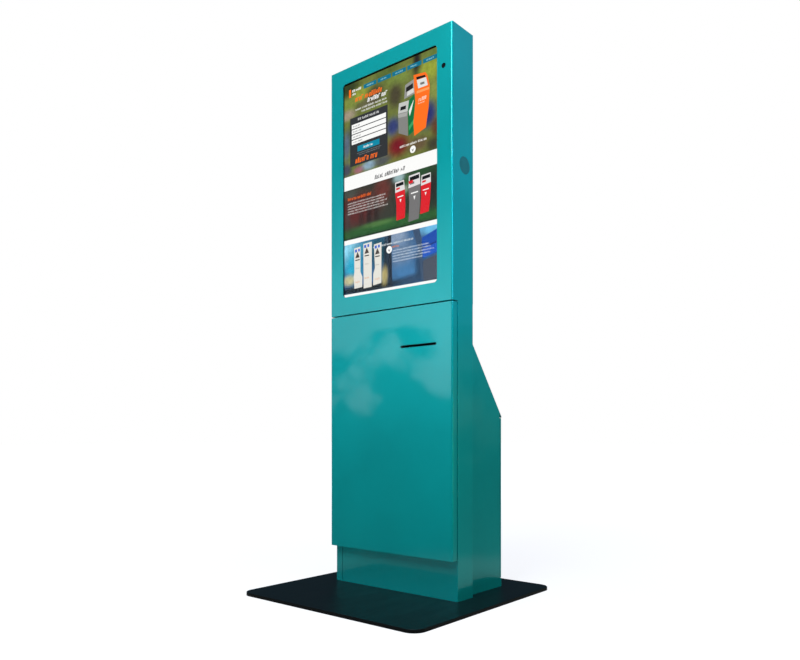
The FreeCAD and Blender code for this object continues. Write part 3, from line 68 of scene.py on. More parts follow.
PANEL_LOW, PANEL_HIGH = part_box("display_panel")
LENS_LOW, LENS_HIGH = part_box("camera_window")
FAN_LOW, FAN_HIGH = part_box("fan_frame")
ROLL_LOW, ROLL_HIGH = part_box("paper_roll")
PLATEN_LOW, PLATEN_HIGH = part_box("platen_roller")
MOTOR_LOW, MOTOR_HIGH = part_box("feed_motor")
COMPUTER_LOW, COMPUTER_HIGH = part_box("computer_case")
BOARD_LOW, BOARD_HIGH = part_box("display_controller")


# ---------------------------------------------------------------- sizes and colours that a user may change

class KioskPaintSettings(bpy.types.PropertyGroup):
    """Colours and gloss of the sheet metal."""

    paint: bpy.props.FloatVectorProperty(
        name="Paint", description="Metallic teal of the cabinet, head and doors", subtype="COLOR",
        size=3, min=0.0, max=1.0, default=(0.0, 0.405, 0.415))
    paint_shade: bpy.props.FloatVectorProperty(
        name="Paint shade", description="Darker tone that clouds the metallic coat", subtype="COLOR",
        size=3, min=0.0, max=1.0, default=(0.0, 0.345, 0.355))
    plate: bpy.props.FloatVectorProperty(
        name="Plate", description="Satin black of the floor plate", subtype="COLOR",
        size=3, min=0.0, max=1.0, default=(0.0030, 0.0036, 0.0042))
    metallic: bpy.props.FloatProperty(
        name="Metal flake", description="How metallic the paint is", subtype="FACTOR",
        min=0.0, max=1.0, default=0.52)
    roughness: bpy.props.FloatProperty(
        name="Flake roughness", description="How widely the flake spreads a reflection", subtype="FACTOR",
        min=0.05, max=1.0, default=0.34)
    waviness: bpy.props.FloatProperty(
        name="Sheet waviness", description="Depth of the slow waves in the rolled sheet", unit="LENGTH",
        min=0.0, max=0.005, default=0.0011)


class KioskPictureSettings(bpy.types.PropertyGroup):
    """The lit picture of the display."""

    width: bpy.props.FloatProperty(
        name="Width", description="Width of the lit area", unit="LENGTH", min=0.1, max=1.0, default=0.393)
    height: bpy.props.FloatProperty(
        name="Height", description="Height of the lit area", unit="LENGTH", min=0.1, max=1.5, default=0.6987)
    brightness: bpy.props.FloatProperty(
        name="Brightness", description="Light given off by a white part of the picture", min=0.0, max=5.0,
        default=1.68)
    accent: bpy.props.FloatVectorProperty(
        name="Accent", description="Colour of headings and of the tall machine in the picture",
        subtype="COLOR", size=3, min=0.0, max=1.0, default=(1.0, 0.165, 0.012))
    buttons: bpy.props.FloatVectorProperty(
        name="Buttons", description="Colour of the buttons in the picture", subtype="COLOR", size=3,
        min=0.0, max=1.0, default=(0.004, 0.170, 0.270))


class KioskPartsSettings(bpy.types.PropertyGroup):
    """Sizes of the small parts inside the machine."""

    web_thickness: bpy.props.FloatProperty(
        name="Paper thickness", description="Thickness of the paper from roll to cutter", unit="LENGTH",
        min=0.00005, max=0.0005, default=0.00012)
    wire_radius: bpy.props.FloatProperty(
        name="Guard wire radius", description="Radius of the fan guard's wire", unit="LENGTH",
        min=0.0003, max=0.002, default=0.0008)
    fins: bpy.props.IntProperty(
        name="Cooling fins", description="Number of fins on the display controller",
        min=4, max=30, default=13)


class KioskStageSettings(bpy.types.PropertyGroup):
    """Floor, light and camera."""

    camera_place: bpy.props.FloatVectorProperty(
        name="Camera place", description="Where the camera stands", subtype="XYZ", unit="LENGTH", size=3,
        default=(1.468, -1.740, 0.503))
    camera_turn: bpy.props.FloatProperty(
        name="Camera turn", description="Turn of the level camera about the vertical", unit="ROTATION",
        default=math.radians(40.1))
    lens: bpy.props.FloatProperty(
        name="Lens", description="Focal length of the camera in millimetres", min=10.0, max=200.0,
        default=32.19)
    rise: bpy.props.FloatProperty(
        name="Lens rise", description="Upward shift of the lens", min=-0.5, max=0.5, default=0.1295)
    floor: bpy.props.FloatVectorProperty(
        name="Floor", description="Colour of the floor", subtype="COLOR", size=3, min=0.0, max=1.0,
        default=(0.25, 0.25, 0.25))
    room_light: bpy.props.FloatProperty(
        name="Room light", description="Brightness of the light from all round", min=0.0, max=5.0,
        default=1.0)


# ---------------------------------------------------------------- materials

def linear(*steps):
    """A colour given as 0 to 255 screen steps, as linear red, green and blue."""
    return tuple(((s / 255 + 0.055) / 1.055) ** 2.4 if s > 10 else s / 255 / 12.92 for s in steps)


class Wiring:
    """A node tree with short ways to add to it."""

    def __init__(self, tree, coordinates):
        self.tree = tree
        self.place = self.add("TexCoord").outputs[coordinates]

    def add(self, kind, inputs=(), **fields):
        """A new shader node with some of its fields and inputs set."""
        node = self.tree.nodes.new("ShaderNode" + kind)
        for field, value in fields.items():
            setattr(node, field, value)
        for socket, value in dict(inputs).items():
            node.inputs[socket].default_value = value
        return node

    def link(self, source, target):
        """Joins two sockets."""
        self.tree.links.new(source, target)

    def noise(self, scale, detail=2.0, rough=0.5, vector=None):
        """Grey noise, scale being roughly features per metre."""
        node = self.add("TexNoise", {"Scale": scale, "Detail": detail, "Roughness": rough})
        self.link(vector or self.place, node.inputs["Vector"])
        return node.outputs["Fac"]

    def tones(self, factor, *stops):
        """Turns a factor into colours; each stop is (place, colour)."""
        node = self.add("ValToRGB")
        ramp = node.color_ramp
        for index, (place, colour) in enumerate(stops):
            stop = ramp.elements[index] if index < 2 else ramp.elements.new(place)
            stop.position = place
            stop.color = (*colour[:3], 1.0)
        self.link(factor, node.inputs["Fac"])
        return node.outputs["Color"]

    def span(self, factor, low, high, start=0.0, end=1.0):
        """Turns a factor running from start to end into a value from low to high."""
        node = self.add("MapRange", {"From Min": start, "From Max": end, "To Min": low, "To Max": high})
        self.link(factor, node.inputs["Value"])
        return node.outputs["Result"]

    def length(self, vector):
        """How long a vector is."""
        node = self.add("VectorMath", operation="LENGTH")
        self.link(vector, node.inputs[0])
        return node.outputs["Value"]

    def join(self, kind, operation, first, second, socket=1):
        """Two values or colours put together by a maths node."""
        node = self.add(kind, operation=operation)
        self.link(first, node.inputs[0])
        self.link(second, node.inputs[socket])
        return node.outputs[0]


class Finish(Wiring):
    """One material with its Principled shader, patterned on Object coordinates."""

    def __init__(self, name, colour, roughness, metallic=0.0, **sockets):
        self.material = bpy.data.materials.new(name)
        self.material.use_nodes = True
        super().__init__(self.material.node_tree, "Object")
        self.shader = self.tree.nodes["Principled BSDF"]
        values = {"Base Color": (*colour[:3], 1.0), "Roughness": roughness, "Metallic": metallic}
        values.update((socket.replace("_", " "), value) for socket, value in sockets.items())
        for socket, value in values.items():
            self.shader.inputs[socket].default_value = value

    def feed(self, socket, source):
        """Drives one of the shader's sockets."""
        self.link(source, self.shader.inputs[socket])

    def colour(self, factor, *stops):
        """Drives the base colour with the factor's tones."""
        self.feed("Base Color", self.tones(factor, *stops))

    def gloss(self, factor, low, high, start=0.0, end=1.0):
        """Drives the roughness with the factor's span."""
        self.feed("Roughness", self.span(factor, low, high, start, end))

    def relief(self, height, depth, strength=1.0):
        """Drives the normal with a bump."""
        self.feed("Normal", self.bump(height, depth, strength))

    def mapped(self, **moves):
        """Object coordinates, moved by location, turned by rotation or stretched by scale."""
        node = self.add("Mapping", {move.capitalize(): value for move, value in moves.items()})
        self.link(self.place, node.inputs["Vector"])
        return node.outputs["Vector"]

    def cells(self, scale, vector=None, output="Distance"):
        """Voronoi cells."""
        node = self.add("TexVoronoi", {"Scale": scale})
        self.link(vector or self.place, node.inputs["Vector"])
        return node.outputs[output]

    def bump(self, height, depth, strength=1.0, under=None):
        """Relief of that depth in metres, on top of an earlier bump."""
        node = self.add("Bump", {"Distance": depth, "Strength": strength})
        self.link(height, node.inputs["Height"])
        if under is not None:
            self.link(under, node.inputs["Normal"])
        return node.outputs["Normal"]


def paint_finish(name, settings):
    """Sprayed metallic teal under a clear coat, with soft darker blotches in its colour, orange peel and slow
    waves of the sheet.
    """
    finish = Finish(name, settings.paint, settings.roughness, settings.metallic,
                    Coat_Weight=0.45, Coat_Roughness=0.04, Coat_IOR=1.5, Specular_IOR_Level=0.15)
    # The base colour runs between the paint's shade and the paint in soft blotches about a third of a metre
    # across.
    blotches = finish.noise(3.1, 3.0, 0.55)
    flake = finish.cells(5200.0)
    finish.colour(blotches, (0.30, settings.paint_shade), (0.70, settings.paint))
    finish.gloss(flake, settings.roughness - 0.05, settings.roughness + 0.05)
    waves = finish.bump(finish.noise(4.3, 2.0, 0.45), settings.waviness)
    peel = finish.bump(finish.noise(420.0, 2.0, 0.5), 0.00002, 0.35, waves)
    finish.feed("Normal", waves)
    finish.feed("Coat Normal", peel)
    return finish.material


def plate_finish(name, settings):
    """Satin black powder coat with a fine grain and faint scuffs."""
    finish = Finish(name, settings.plate, 0.42, 0.0, Specular_IOR_Level=0.08)
    scuffs = finish.noise(26.0, 6.0, 0.62, finish.mapped(rotation=(0.0, 0.0, 0.6), scale=(1.0, 0.22, 1.0)))
    lighter = tuple(1.6 * c for c in settings.plate)
    finish.colour(scuffs, (0.45, settings.plate), (0.85, lighter))
    finish.gloss(scuffs, 0.33, 0.39, 0.3, 0.7)
    finish.relief(finish.noise(1500.0, 2.0), 0.00003, 0.5)
    return finish.material


def zinc_finish(name):
    """Passivated zinc plate with a faint spangle."""
    finish = Finish(name, (0.60, 0.62, 0.64), 0.36, 1.0)
    spangle = finish.cells(260.0, output="Color")
    finish.colour(spangle, (0.2, (0.50, 0.52, 0.53)), (0.8, (0.68, 0.70, 0.71)))
    finish.gloss(finish.noise(90.0, 4.0), 0.27, 0.46, 0.3, 0.7)
    finish.relief(finish.noise(700.0, 3.0), 0.00002, 0.4)
    return finish.material


def chrome_finish(name):
    """Polished plating of the locks, finely turned."""
    finish = Finish(name, (0.82, 0.83, 0.85), 0.12, 1.0)
    wear = finish.noise(420.0, 4.0, 0.6)
    finish.gloss(wear, 0.07, 0.22, 0.3, 0.7)
    finish.relief(finish.noise(2600.0, 2.0), 0.000008, 0.4)
    return finish.material


def rubber_finish(name):
    """Matt black moulded rubber."""
    finish = Finish(name, (0.014, 0.014, 0.015), 0.72, 0.0, Specular_IOR_Level=0.35, Sheen_Weight=0.08)
    grain = finish.noise(900.0, 4.0, 0.6)
    finish.colour(grain, (0.35, (0.010, 0.010, 0.011)), (0.70, (0.022, 0.022, 0.023)))
    finish.relief(grain, 0.00006, 0.5)
    return finish.material


def glass_finish(name):
    """Coated touch glass: nearly clear, with a dark gloss and a whisper of finger smears."""
    finish = Finish(name, (0.004, 0.005, 0.006), 0.02, 0.0, Alpha=0.22, IOR=1.35)
    finish.gloss(finish.noise(14.0, 5.0, 0.6), 0.01, 0.09, 0.45, 0.75)
    return finish.material


def lens_finish(name):
    """Smoked window of the camera: a black iris inside a slightly paler ring."""
    finish = Finish(name, (0.002, 0.002, 0.003), 0.10, 0.0, Specular_IOR_Level=0.25)
    middle, radius = (LENS_LOW + LENS_HIGH) / 2, (LENS_HIGH.z - LENS_LOW.z) / 2
    flat = finish.mapped(location=(-middle.x, 0.0, -middle.z), scale=(1.0, 0.0, 1.0))
    out = finish.span(finish.length(flat), 0.0, 1.0, 0.0, radius)
    finish.colour(out, (0.30, (0.001, 0.001, 0.002)), (0.34, (0.020, 0.020, 0.024)),
                  (0.48, (0.003, 0.003, 0.004)))
    finish.gloss(finish.noise(300.0, 3.0), 0.06, 0.16, 0.3, 0.7)
    return finish.material


def foam_finish(name):
    """Black closed-cell foam strip."""
    finish = Finish(name, (0.008, 0.008, 0.009), 0.95, 0.0, Specular_IOR_Level=0.15)
    pores = finish.cells(1500.0)
    finish.colour(pores, (0.0, (0.004, 0.004, 0.004)), (0.6, (0.016, 0.016, 0.017)))
    finish.relief(pores, 0.0001, 0.6)
    return finish.material


def panel_finish(name):
    """Dark face and edge of the display panel."""
    finish = Finish(name, (0.006, 0.006, 0.007), 0.24, 0.0)
    finish.gloss(finish.noise(60.0, 3.0), 0.18, 0.34, 0.3, 0.7)
    finish.relief(finish.noise(900.0, 2.0), 0.00001, 0.3)
    return finish.material


def brushed_finish(name, colour, roughness, along):
    """Brushed aluminium; along stretches the grain."""
    finish = Finish(name, colour, roughness, 1.0)
    grain = finish.noise(700.0, 3.0, 0.6, finish.mapped(scale=along))
    darker = tuple(0.80 * c for c in colour)
    finish.colour(grain, (0.3, darker), (0.7, colour))
    finish.gloss(grain, roughness - 0.08, roughness + 0.10, 0.3, 0.7)
    finish.relief(grain, 0.00002, 0.35)
    return finish.material


def plastic_finish(name, colour, roughness=0.46, grain_size=1100.0, **sockets):
    """Moulded plastic with a fine spark-eroded grain."""
    finish = Finish(name, colour, roughness, 0.0, **sockets)
    grain = finish.noise(grain_size, 3.0, 0.55)
    mottle = finish.noise(45.0, 3.0)
    lighter = tuple(min(1.0, 1.18 * c + 0.002) for c in colour)
    finish.colour(mottle, (0.30, colour), (0.75, lighter))
    finish.gloss(mottle, roughness - 0.06, roughness + 0.08, 0.3, 0.7)
    finish.relief(grain, 0.00003, 0.4)
    return finish.material


def paper_finish(name):
    """Thermal paper: the ends of the roll show its turns as fine rings."""
    finish = Finish(name, (0.84, 0.83, 0.80), 0.82, 0.0, Specular_IOR_Level=0.25)
    centre = (ROLL_LOW + ROLL_HIGH) / 2
    node = finish.add("TexWave", {"Scale": 260.0, "Distortion": 1.2, "Detail": 3.0}, wave_type="RINGS",
                      rings_direction="X")
    finish.link(finish.mapped(location=(0.0, -centre.y, -centre.z)), node.inputs["Vector"])
    rings = node.outputs["Fac"]
    finish.colour(rings, (0.0, (0.70, 0.69, 0.65)), (0.55, (0.86, 0.85, 0.82)))
    finish.relief(finish.noise(1400.0, 3.0), 0.00002, 0.4)
    return finish.material


def board_finish(name):
    """Green circuit board with a pattern of dark copper runs under the lacquer."""
    finish = Finish(name, (0.010, 0.090, 0.035), 0.34, 0.0, Coat_Weight=0.4, Coat_Roughness=0.15)
    runs = finish.cells(380.0, finish.mapped(scale=(1.0, 1.0, 2.2)), output="Color")
    finish.colour(runs, (0.40, (0.006, 0.060, 0.024)), (0.60, (0.020, 0.150, 0.055)))
    finish.relief(runs, 0.00003, 0.4)
    return finish.material


def picture_finish(name, brightness):
    """The lit face of the display: the colours come from the piece's own attribute, and its alpha says how
    much of a soft leafy mottling the place gets."""
    finish = Finish(name, (0.0, 0.0, 0.0), 0.35, 0.0, Specular_IOR_Level=0.1, Emission_Strength=brightness)
    colours = finish.add("VertexColor", layer_name="picture")
    leaves = finish.add("Mix", data_type="RGBA", blend_type="MULTIPLY")
    mottling = finish.noise(70.0, 4.0, 0.6)
    shade = finish.tones(mottling, (0.30, (0.78, 0.78, 0.78)), (0.70, (1.14, 1.14, 1.14)))
    finish.link(colours.outputs["Alpha"], leaves.inputs["Factor"])
    finish.link(colours.outputs["Color"], leaves.inputs["A"])
    finish.link(shade, leaves.inputs["B"])
    finish.feed("Emission Color", leaves.outputs["Result"])
    return finish.material


FINISHES = {
    "teal_paint": lambda name: paint_finish(name, bpy.context.scene.kiosk_paint),
    "black_plate": lambda name: plate_finish(name, bpy.context.scene.kiosk_paint),
    "zinc": zinc_finish,
    "chrome_lock": chrome_finish,
    "black_rubber": rubber_finish,
    "glass": glass_finish,
    "foam": foam_finish,
    "display_face": panel_finish,
    "aluminium": lambda name: brushed_finish(name, (0.66, 0.67, 0.68), 0.34, (1.0, 1.0, 0.03)),
    "dark_aluminium": lambda name: brushed_finish(name, (0.13, 0.135, 0.14), 0.40, (0.03, 1.0, 1.0)),
    "black_plastic": lambda name: plastic_finish(name, (0.016, 0.016, 0.018)),
    "grey_plastic": lambda name: plastic_finish(name, (0.20, 0.205, 0.21)),
    "green_plastic": lambda name: plastic_finish(name, (0.020, 0.230, 0.070), 0.36),
    "red_plastic": lambda name: plastic_finish(name, (0.420, 0.014, 0.012), 0.30, Coat_Weight=0.3),
    "teal_cap": lambda name: plastic_finish(name, (0.005, 0.112, 0.122), 0.50),
    "brass": lambda name: brushed_finish(name, (0.62, 0.43, 0.16), 0.26, (1.0, 0.2, 0.2)),
    "paper_white": paper_finish,
    "board_green": board_finish,
    "picture_light": lambda name: picture_finish(name, bpy.context.scene.kiosk_picture.brightness),
    "camera_lens": lens_finish,
}
# Parts whose finish is not that of their material slot.
OWN_FINISHES = {"camera_window": "camera_lens"}


def finish_of(name):
    """The material of that name, made when it is first asked for."""
    full_name = "kiosk_" + name
    return bpy.data.materials.get(full_name) or FINISHES[name](full_name)


# ---------------------------------------------------------------- shapes

# Points this near to one another become one.
WELD = 0.00001
SHARP_EDGE = math.radians(32.0)
# Sides of a wire, and steps round a screw head or another small turned shape.
WIRE_SIDES, SMALL_STEPS = 8, 16


def block(bm, low, high, bevel=0.0, segments=2):
    """A box between two corners, its edges rounded by the bevel."""
    low, high = Vector(low), Vector(high)
    made = bmesh.ops.create_cube(bm, size=1.0)["verts"]
    bmesh.ops.scale(bm, vec=high - low, verts=made)
    bmesh.ops.translate(bm, vec=(low + high) / 2, verts=made)
    if bevel:
        edges = list({edge for vert in made for edge in vert.link_edges})
        bmesh.ops.bevel(bm, geom=edges, offset=bevel, offset_type="OFFSET", segments=segments, profile=0.5,
                        affect="EDGES", clamp_overlap=True, material=-1)


def spun(bm, line, centre, axis, steps):
    """Turns a line of points and edges once round the axis."""
    bmesh.ops.spin(bm, geom=line, cent=centre, axis=axis, dvec=(0.0, 0.0, 0.0), angle=math.tau, steps=steps,
                   use_merge=True, use_duplicate=False)


def turned(bm, centre, axis, profile, steps):
    """A turned shape: profile lists (radius, distance along the axis) from one pole to the other."""
    centre, axis = Vector(centre), Vector(axis).normalized()
    side = axis.orthogonal().normalized()
    line = [bm.verts.new(centre + side * radius + axis * along) for radius, along in profile]
    line += [bm.edges.new(pair) for pair in zip(line, line[1:])]
    spun(bm, line, centre, axis, steps)
    bmesh.ops.remove_doubles(bm, verts=bm.verts, dist=WELD)


def ring(bm, centre, axis, radius, wire, steps):
    """A round wire ring."""
    centre, axis = Vector(centre), Vector(axis).normalized()
    side = axis.orthogonal().normalized()
    section = []
    for index in range(WIRE_SIDES):
        angle = math.tau * index / WIRE_SIDES
        out, along = radius + wire * math.cos(angle), wire * math.sin(angle)
        section.append(bm.verts.new(centre + side * out + axis * along))
    section += [bm.edges.new((section[i], section[(i + 1) % WIRE_SIDES])) for i in range(WIRE_SIDES)]
    spun(bm, section, centre, axis, steps)


def make_piece(name, bm, finish, body="cabinet", replaces=(), outward=True):
    """Turns a bmesh into a piece of the machine that rides on a body."""
    if outward:
        bmesh.ops.recalc_face_normals(bm, faces=bm.faces)
    mesh = bpy.data.meshes.new(name)
    bm.to_mesh(mesh)
    bm.free()
    mesh.materials.append(finish_of(finish))
    mesh.shade_smooth()
    mesh.set_sharp_from_angle(angle=SHARP_EDGE)
    piece = bpy.data.objects.new(name, mesh)
    bpy.context.scene.collection.objects.link(piece)
    if replaces:
        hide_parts(*replaces)
    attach(piece, body)
    return piece


# ---------------------------------------------------------------- the display's picture

SHEET_WIDE, SHEET_HIGH = 78.0, 140.0
LAYER_STEP = 0.00005
SCENE_COLUMNS = 78
BADGE_SIDES = 24
LINE_PITCH = 1.72
# Colours in screen steps.
WHITE, PALE, GREY, INK = (250, 250, 248), (226, 222, 222), (120, 122, 124), (58, 58, 60)
RED, GLOW = (218, 30, 40), (52, 96, 204)

# Soft patches of the picture's three blurred scenes, in sheet units from the top left corner:
# x, y, half width, half height, colour in screen steps, strength.
PARK = (
    (39, 30, 90, 90, (112, 122, 58), 1.0), (4, 3, 9, 5, (52, 62, 34), 1.0),
    (15, 9, 7, 4, (150, 160, 58), 0.9), (4, 13, 5, 4, (132, 148, 66), 0.8),
    (3, 20, 6, 3, (176, 158, 140), 0.8), (27, 13, 6, 5, (66, 58, 46), 0.9), (38, 3, 9, 5, (84, 104, 48), 0.8),
    (46, 9, 7, 4, (128, 150, 66), 0.8), (61, 4, 2.6, 9, (40, 36, 34), 1.0),
    (71, 11, 7, 6, (156, 168, 58), 0.9), (75, 3, 6, 3, (96, 118, 56), 0.8), (44, 19, 5, 7, (70, 60, 48), 0.9),
    (75, 25, 5, 6, (134, 146, 70), 0.8), (20, 17, 8, 3, (96, 88, 70), 0.7), (8, 34, 6, 7, (76, 84, 62), 0.8),
    (42, 38, 5, 5, (44, 54, 122), 0.9), (69, 38, 6, 7, (34, 40, 112), 0.95),
    (46, 51, 8, 6, (118, 24, 34), 1.0), (76, 47, 4, 5, (92, 34, 34), 0.8), (62, 54, 7, 4, (104, 76, 62), 0.8),
    (74, 57, 5, 4, (58, 52, 46), 0.9), (57, 33, 5, 8, (92, 106, 62), 0.8), (2, 40, 3, 8, (88, 104, 132), 0.8),
    (2, 56, 4, 4, (58, 58, 96), 0.8), (13, 58, 4, 2, (168, 96, 122), 0.8),
    (22, 57, 5, 2.5, (142, 172, 196), 0.9), (33, 57, 6, 3, (72, 74, 92), 0.8),
)
CAMPUS = (
    (39, 85, 90, 50, (58, 58, 50), 1.0), (12, 84, 15, 9, (98, 38, 38), 0.9),
    (33, 76, 6, 7, (112, 52, 46), 0.8), (3, 72, 8, 3, (78, 82, 74), 0.8), (22, 90, 2, 8, (40, 30, 30), 0.8),
    (28, 88, 2, 9, (44, 32, 30), 0.8), (15, 91, 2, 6, (50, 34, 32), 0.7),
    (47, 71, 4, 2.5, (172, 204, 206), 0.8), (53, 76, 2.5, 6, (60, 104, 62), 0.8),
    (66, 72, 9, 4, (42, 84, 46), 0.8), (72, 84, 7, 10, (38, 44, 40), 0.9),
    (52, 79, 2, 2, (168, 176, 160), 0.6), (60, 92, 14, 5, (42, 58, 42), 0.8),
    (39, 99, 60, 3.6, (44, 94, 44), 0.95), (30, 96, 12, 1.4, (86, 128, 66), 0.7),
    (39, 103, 60, 1.8, (26, 44, 30), 0.9), (3, 88, 2, 8, (70, 62, 60), 0.7),
)
TOWER = (
    (39, 120, 90, 50, (58, 104, 150), 1.0), (3, 110, 9, 8, (150, 218, 242), 1.0),
    (8, 120, 7, 9, (34, 166, 200), 0.95), (18, 110, 9, 4, (66, 150, 176), 0.8),
    (30, 114, 7, 9, (28, 76, 88), 0.95), (4.5, 129, 5, 3, (206, 196, 142), 0.9),
    (36.5, 120, 2.2, 16, (24, 34, 46), 1.0), (46, 108, 6, 4, (160, 178, 200), 0.8),
    (49, 118, 8, 9, (108, 132, 162), 0.8), (52, 130, 9, 5, (66, 122, 172), 0.8),
    (64, 110, 5, 5, (72, 96, 132), 0.8), (72, 116, 8, 6, (26, 50, 122), 0.95),
    (73, 106.5, 9, 3.5, (112, 192, 236), 0.95), (73, 130, 8, 5, (58, 66, 82), 0.9),
    (20, 136, 34, 2.6, (22, 24, 28), 1.0), (58, 135, 8, 2.5, (44, 66, 96), 0.8),
    (35, 130, 2.4, 5, (190, 174, 108), 0.9), (63, 127, 3, 8, (30, 46, 70), 0.7),
)


class PictureSheet:
    """Flat shapes on the lit face, laid out in sheet units and stacked in layers towards the glass.

    A colour is given as screen steps or as the name of one of the picture's settings."""

    def __init__(self, settings):
        self.settings = settings
        self.bm = bmesh.new()
        self.colours = self.bm.loops.layers.float_color.new("picture")
        middle = (PANEL_LOW + PANEL_HIGH) / 2
        self.left = middle.x - settings.width / 2
        self.top = middle.z + settings.height / 2
        self.across = settings.width / SHEET_WIDE
        self.down = settings.height / SHEET_HIGH

    def at(self, x, y, layer):
        """The point of the sheet at x, y on that layer."""
        depth = PANEL_LOW.y - layer * LAYER_STEP
        return Vector((self.left + x * self.across, depth, self.top - y * self.down))

    def face_glass(self, face):
        """Turns a face towards the glass."""
        face.normal_update()
        if face.normal.dot(FRONT) < 0:
            face.normal_flip()

    def shape(self, points, colour, layer=2):
        """A flat polygon that faces the glass."""
        if isinstance(colour, str):
            tint = tuple(getattr(self.settings, colour))
        else:
            tint = linear(*colour)
        face = self.bm.faces.new([self.bm.verts.new(self.at(x, y, layer)) for x, y in points])
        self.face_glass(face)
        for loop in face.loops:
            loop[self.colours] = (*tint, 0.0)

    def bar(self, x0, y0, x1, y1, colour, layer=2, slant=0.0):
        """A bar, leaning to the right by the slant."""
        self.shape(((x0 + slant, y0), (x1 + slant, y0), (x1, y1), (x0, y1)), colour, layer)

    def badge(self, x, y, radius):
        """A round white badge with a dark chevron."""
        rim = []
        for index in range(BADGE_SIDES):
            turn = math.tau * index / BADGE_SIDES
            rim.append((x + radius * math.cos(turn), y + radius * math.sin(turn) * self.across / self.down))
        self.shape(rim, WHITE, 3)
        self.shape(((x - 1.1, y - 0.6), (x, y + 0.3), (x + 1.1, y - 0.6), (x, y + 1.4)), INK, 4)

    def words(self, x0, y0, x1, y1, colour, layer, seed, slant=0.0):
        """A line of wordless print: runs of stems with crossbars and word gaps, none of them a letter."""
        pick = random.Random(seed)
        tall = y1 - y0
        stem = 0.17 * tall
        x = x0
        while x < x1 - 1.4 * tall:
            for _ in range(pick.randint(3, 8)):
                wide = tall * pick.uniform(0.34, 0.50)
                if x + wide > x1:
                    break
                rise = y0 if pick.random() < 0.4 else y0 + 0.22 * tall
                lean = slant * (y1 - rise)
                self.bar(x, rise, x + stem, y1, colour, layer, lean)
                if pick.random() < 0.7:
                    self.bar(x + wide - stem, rise, x + wide, y1, colour, layer, lean)
                level = pick.choice((0.0, 0.42, 0.83)) * (y1 - rise)
                shift = slant * (y1 - rise - level)
                self.bar(x + shift, rise + level, x + wide + shift, rise + level + stem, colour, layer + 0.3)
                x += wide + 0.16 * tall
            x += 0.40 * tall

    def scenery(self, y0, y1, patches, rows):
        """A blurred scene: a fine grid whose points take the blend of the patches."""
        made = bmesh.ops.create_grid(self.bm, x_segments=SCENE_COLUMNS, y_segments=rows, size=0.5)["verts"]
        for vert in made:
            x, y = (vert.co.x + 0.5) * SHEET_WIDE, y0 + (0.5 - vert.co.y) * (y1 - y0)
            vert.co = self.at(x, y, 1)
        for face in {face for vert in made for face in vert.link_faces}:
            self.face_glass(face)
            for loop in face.loops:
                x = (loop.vert.co.x - self.left) / self.across
                y = (self.top - loop.vert.co.z) / self.down
                loop[self.colours] = (*self.blend(x, y, patches), 1.0)

    def blend(self, x, y, patches):
        """The colour of soft patches laid over one another at x, y."""
        colour = Vector((0.0, 0.0, 0.0))
        for px, py, wide, high, steps, strength in patches:
            reach = ((x - px) / wide) ** 2 + ((y - py) / high) ** 2
            colour = colour.lerp(Vector(linear(*steps)), strength * math.exp(-0.55 * reach ** 1.8))
        return colour

    def machine(self, x, y, scale, body, lean=0.0, layer=3):
        """A slim kiosk with a tilted head, drawn flat: x, y is the top left of its head."""
        for points, colour, lift in (
            (((0.2, 0.4), (8.4, 0.0), (9.0, 7.4), (9.0, 19), (8.2, 27.4), (0.4, 28.0), (0.8, 16), (0, 8)),
             body, 0),
            (((0.2, 0.4), (8.4, 0.0), (9.0, 7.0), (0.0, 7.8)), PALE, 1),
            (((0.9, 1.4), (7.9, 1.0), (8.1, 3.4), (0.9, 3.8)), (20, 20, 22), 2),
            (((1.0, 4.6), (4.4, 4.4), (4.4, 5.8), (1.0, 6.0)), body, 2),
            (((2.0, 11.0), (7.4, 10.8), (7.4, 11.5), (2.0, 11.7)), WHITE, 1),
            (((3.9, 13.2), (5.5, 13.2), (4.7, 15.6)), WHITE, 1),
        ):
            placed = [(x + scale * (px + lean * py / 27), y + scale * py) for px, py in points]
            self.shape(placed, colour, layer + lift)

    def button(self, left, seed):
        """A button of the menu, its label in print."""
        self.bar(left, 4.0, left + 11.0, 6.7, "buttons", 2)
        self.words(left + 2.6, 4.9, left + 8.6, 5.8, (150, 205, 222), 3, seed)

    def field(self, top, end, seed):
        """A white field of the form, its label ending at that place."""
        self.bar(6.7, top, 36.2, top + 2.85, WHITE, 3)
        self.words(7.8, top + 1.0, end, top + 1.9, GREY, 4, seed)

    def paragraph(self, left, top, tall, colour, seed, ends):
        """Lines of print below one another, each ending at its own place."""
        for index, end in enumerate(ends):
            line = top + index * LINE_PITCH
            self.words(left, line, end, line + tall, colour, 3, seed + index)

    def totem(self, *outline):
        """A tall pale machine with two lit squares, a roof mark and a band at its head."""
        left, top = outline[0]
        self.shape(outline, (228, 225, 216), 3)
        self.bar(left + 0.7, top + 0.9, left + 2.5, top + 2.8, GLOW, 4)
        self.bar(left + 3.5, top + 0.8, left + 5.0, top + 2.6, GLOW, 4)
        self.shape(((left + 0.9, top + 6.6), (left + 2.9, top + 2.6), (left + 4.9, top + 6.4)),
                   (72, 62, 58), 4)
        self.bar(left + 1.0, top + 7.6, left + 4.9, top + 8.3, (28, 28, 32), 4)
        self.words(left + 1.3, top + 13.0, left + 4.6, top + 13.6, (150, 148, 142), 4, 60)
        self.words(left + 0.9, top + 21.6, left + 5.0, top + 22.8, (226, 168, 132), 4, 61)


# ---------------------------------------------------------------- operators

class KIOSK_OT_finish_parts(bpy.types.Operator):
    """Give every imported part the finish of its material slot"""

    bl_idname = "kiosk.finish_parts"
    bl_label = "Finish the packed parts"

    def execute(self, context):
        slots = {part["node"]: part["material_slot"] for part in frame["record"]["subparts"]}
        for name, node in frame["nodes"].items():
            for slot in node.material_slots:
                slot.material = finish_of(OWN_FINISHES.get(name, slots[name]))
        return {"FINISHED"}


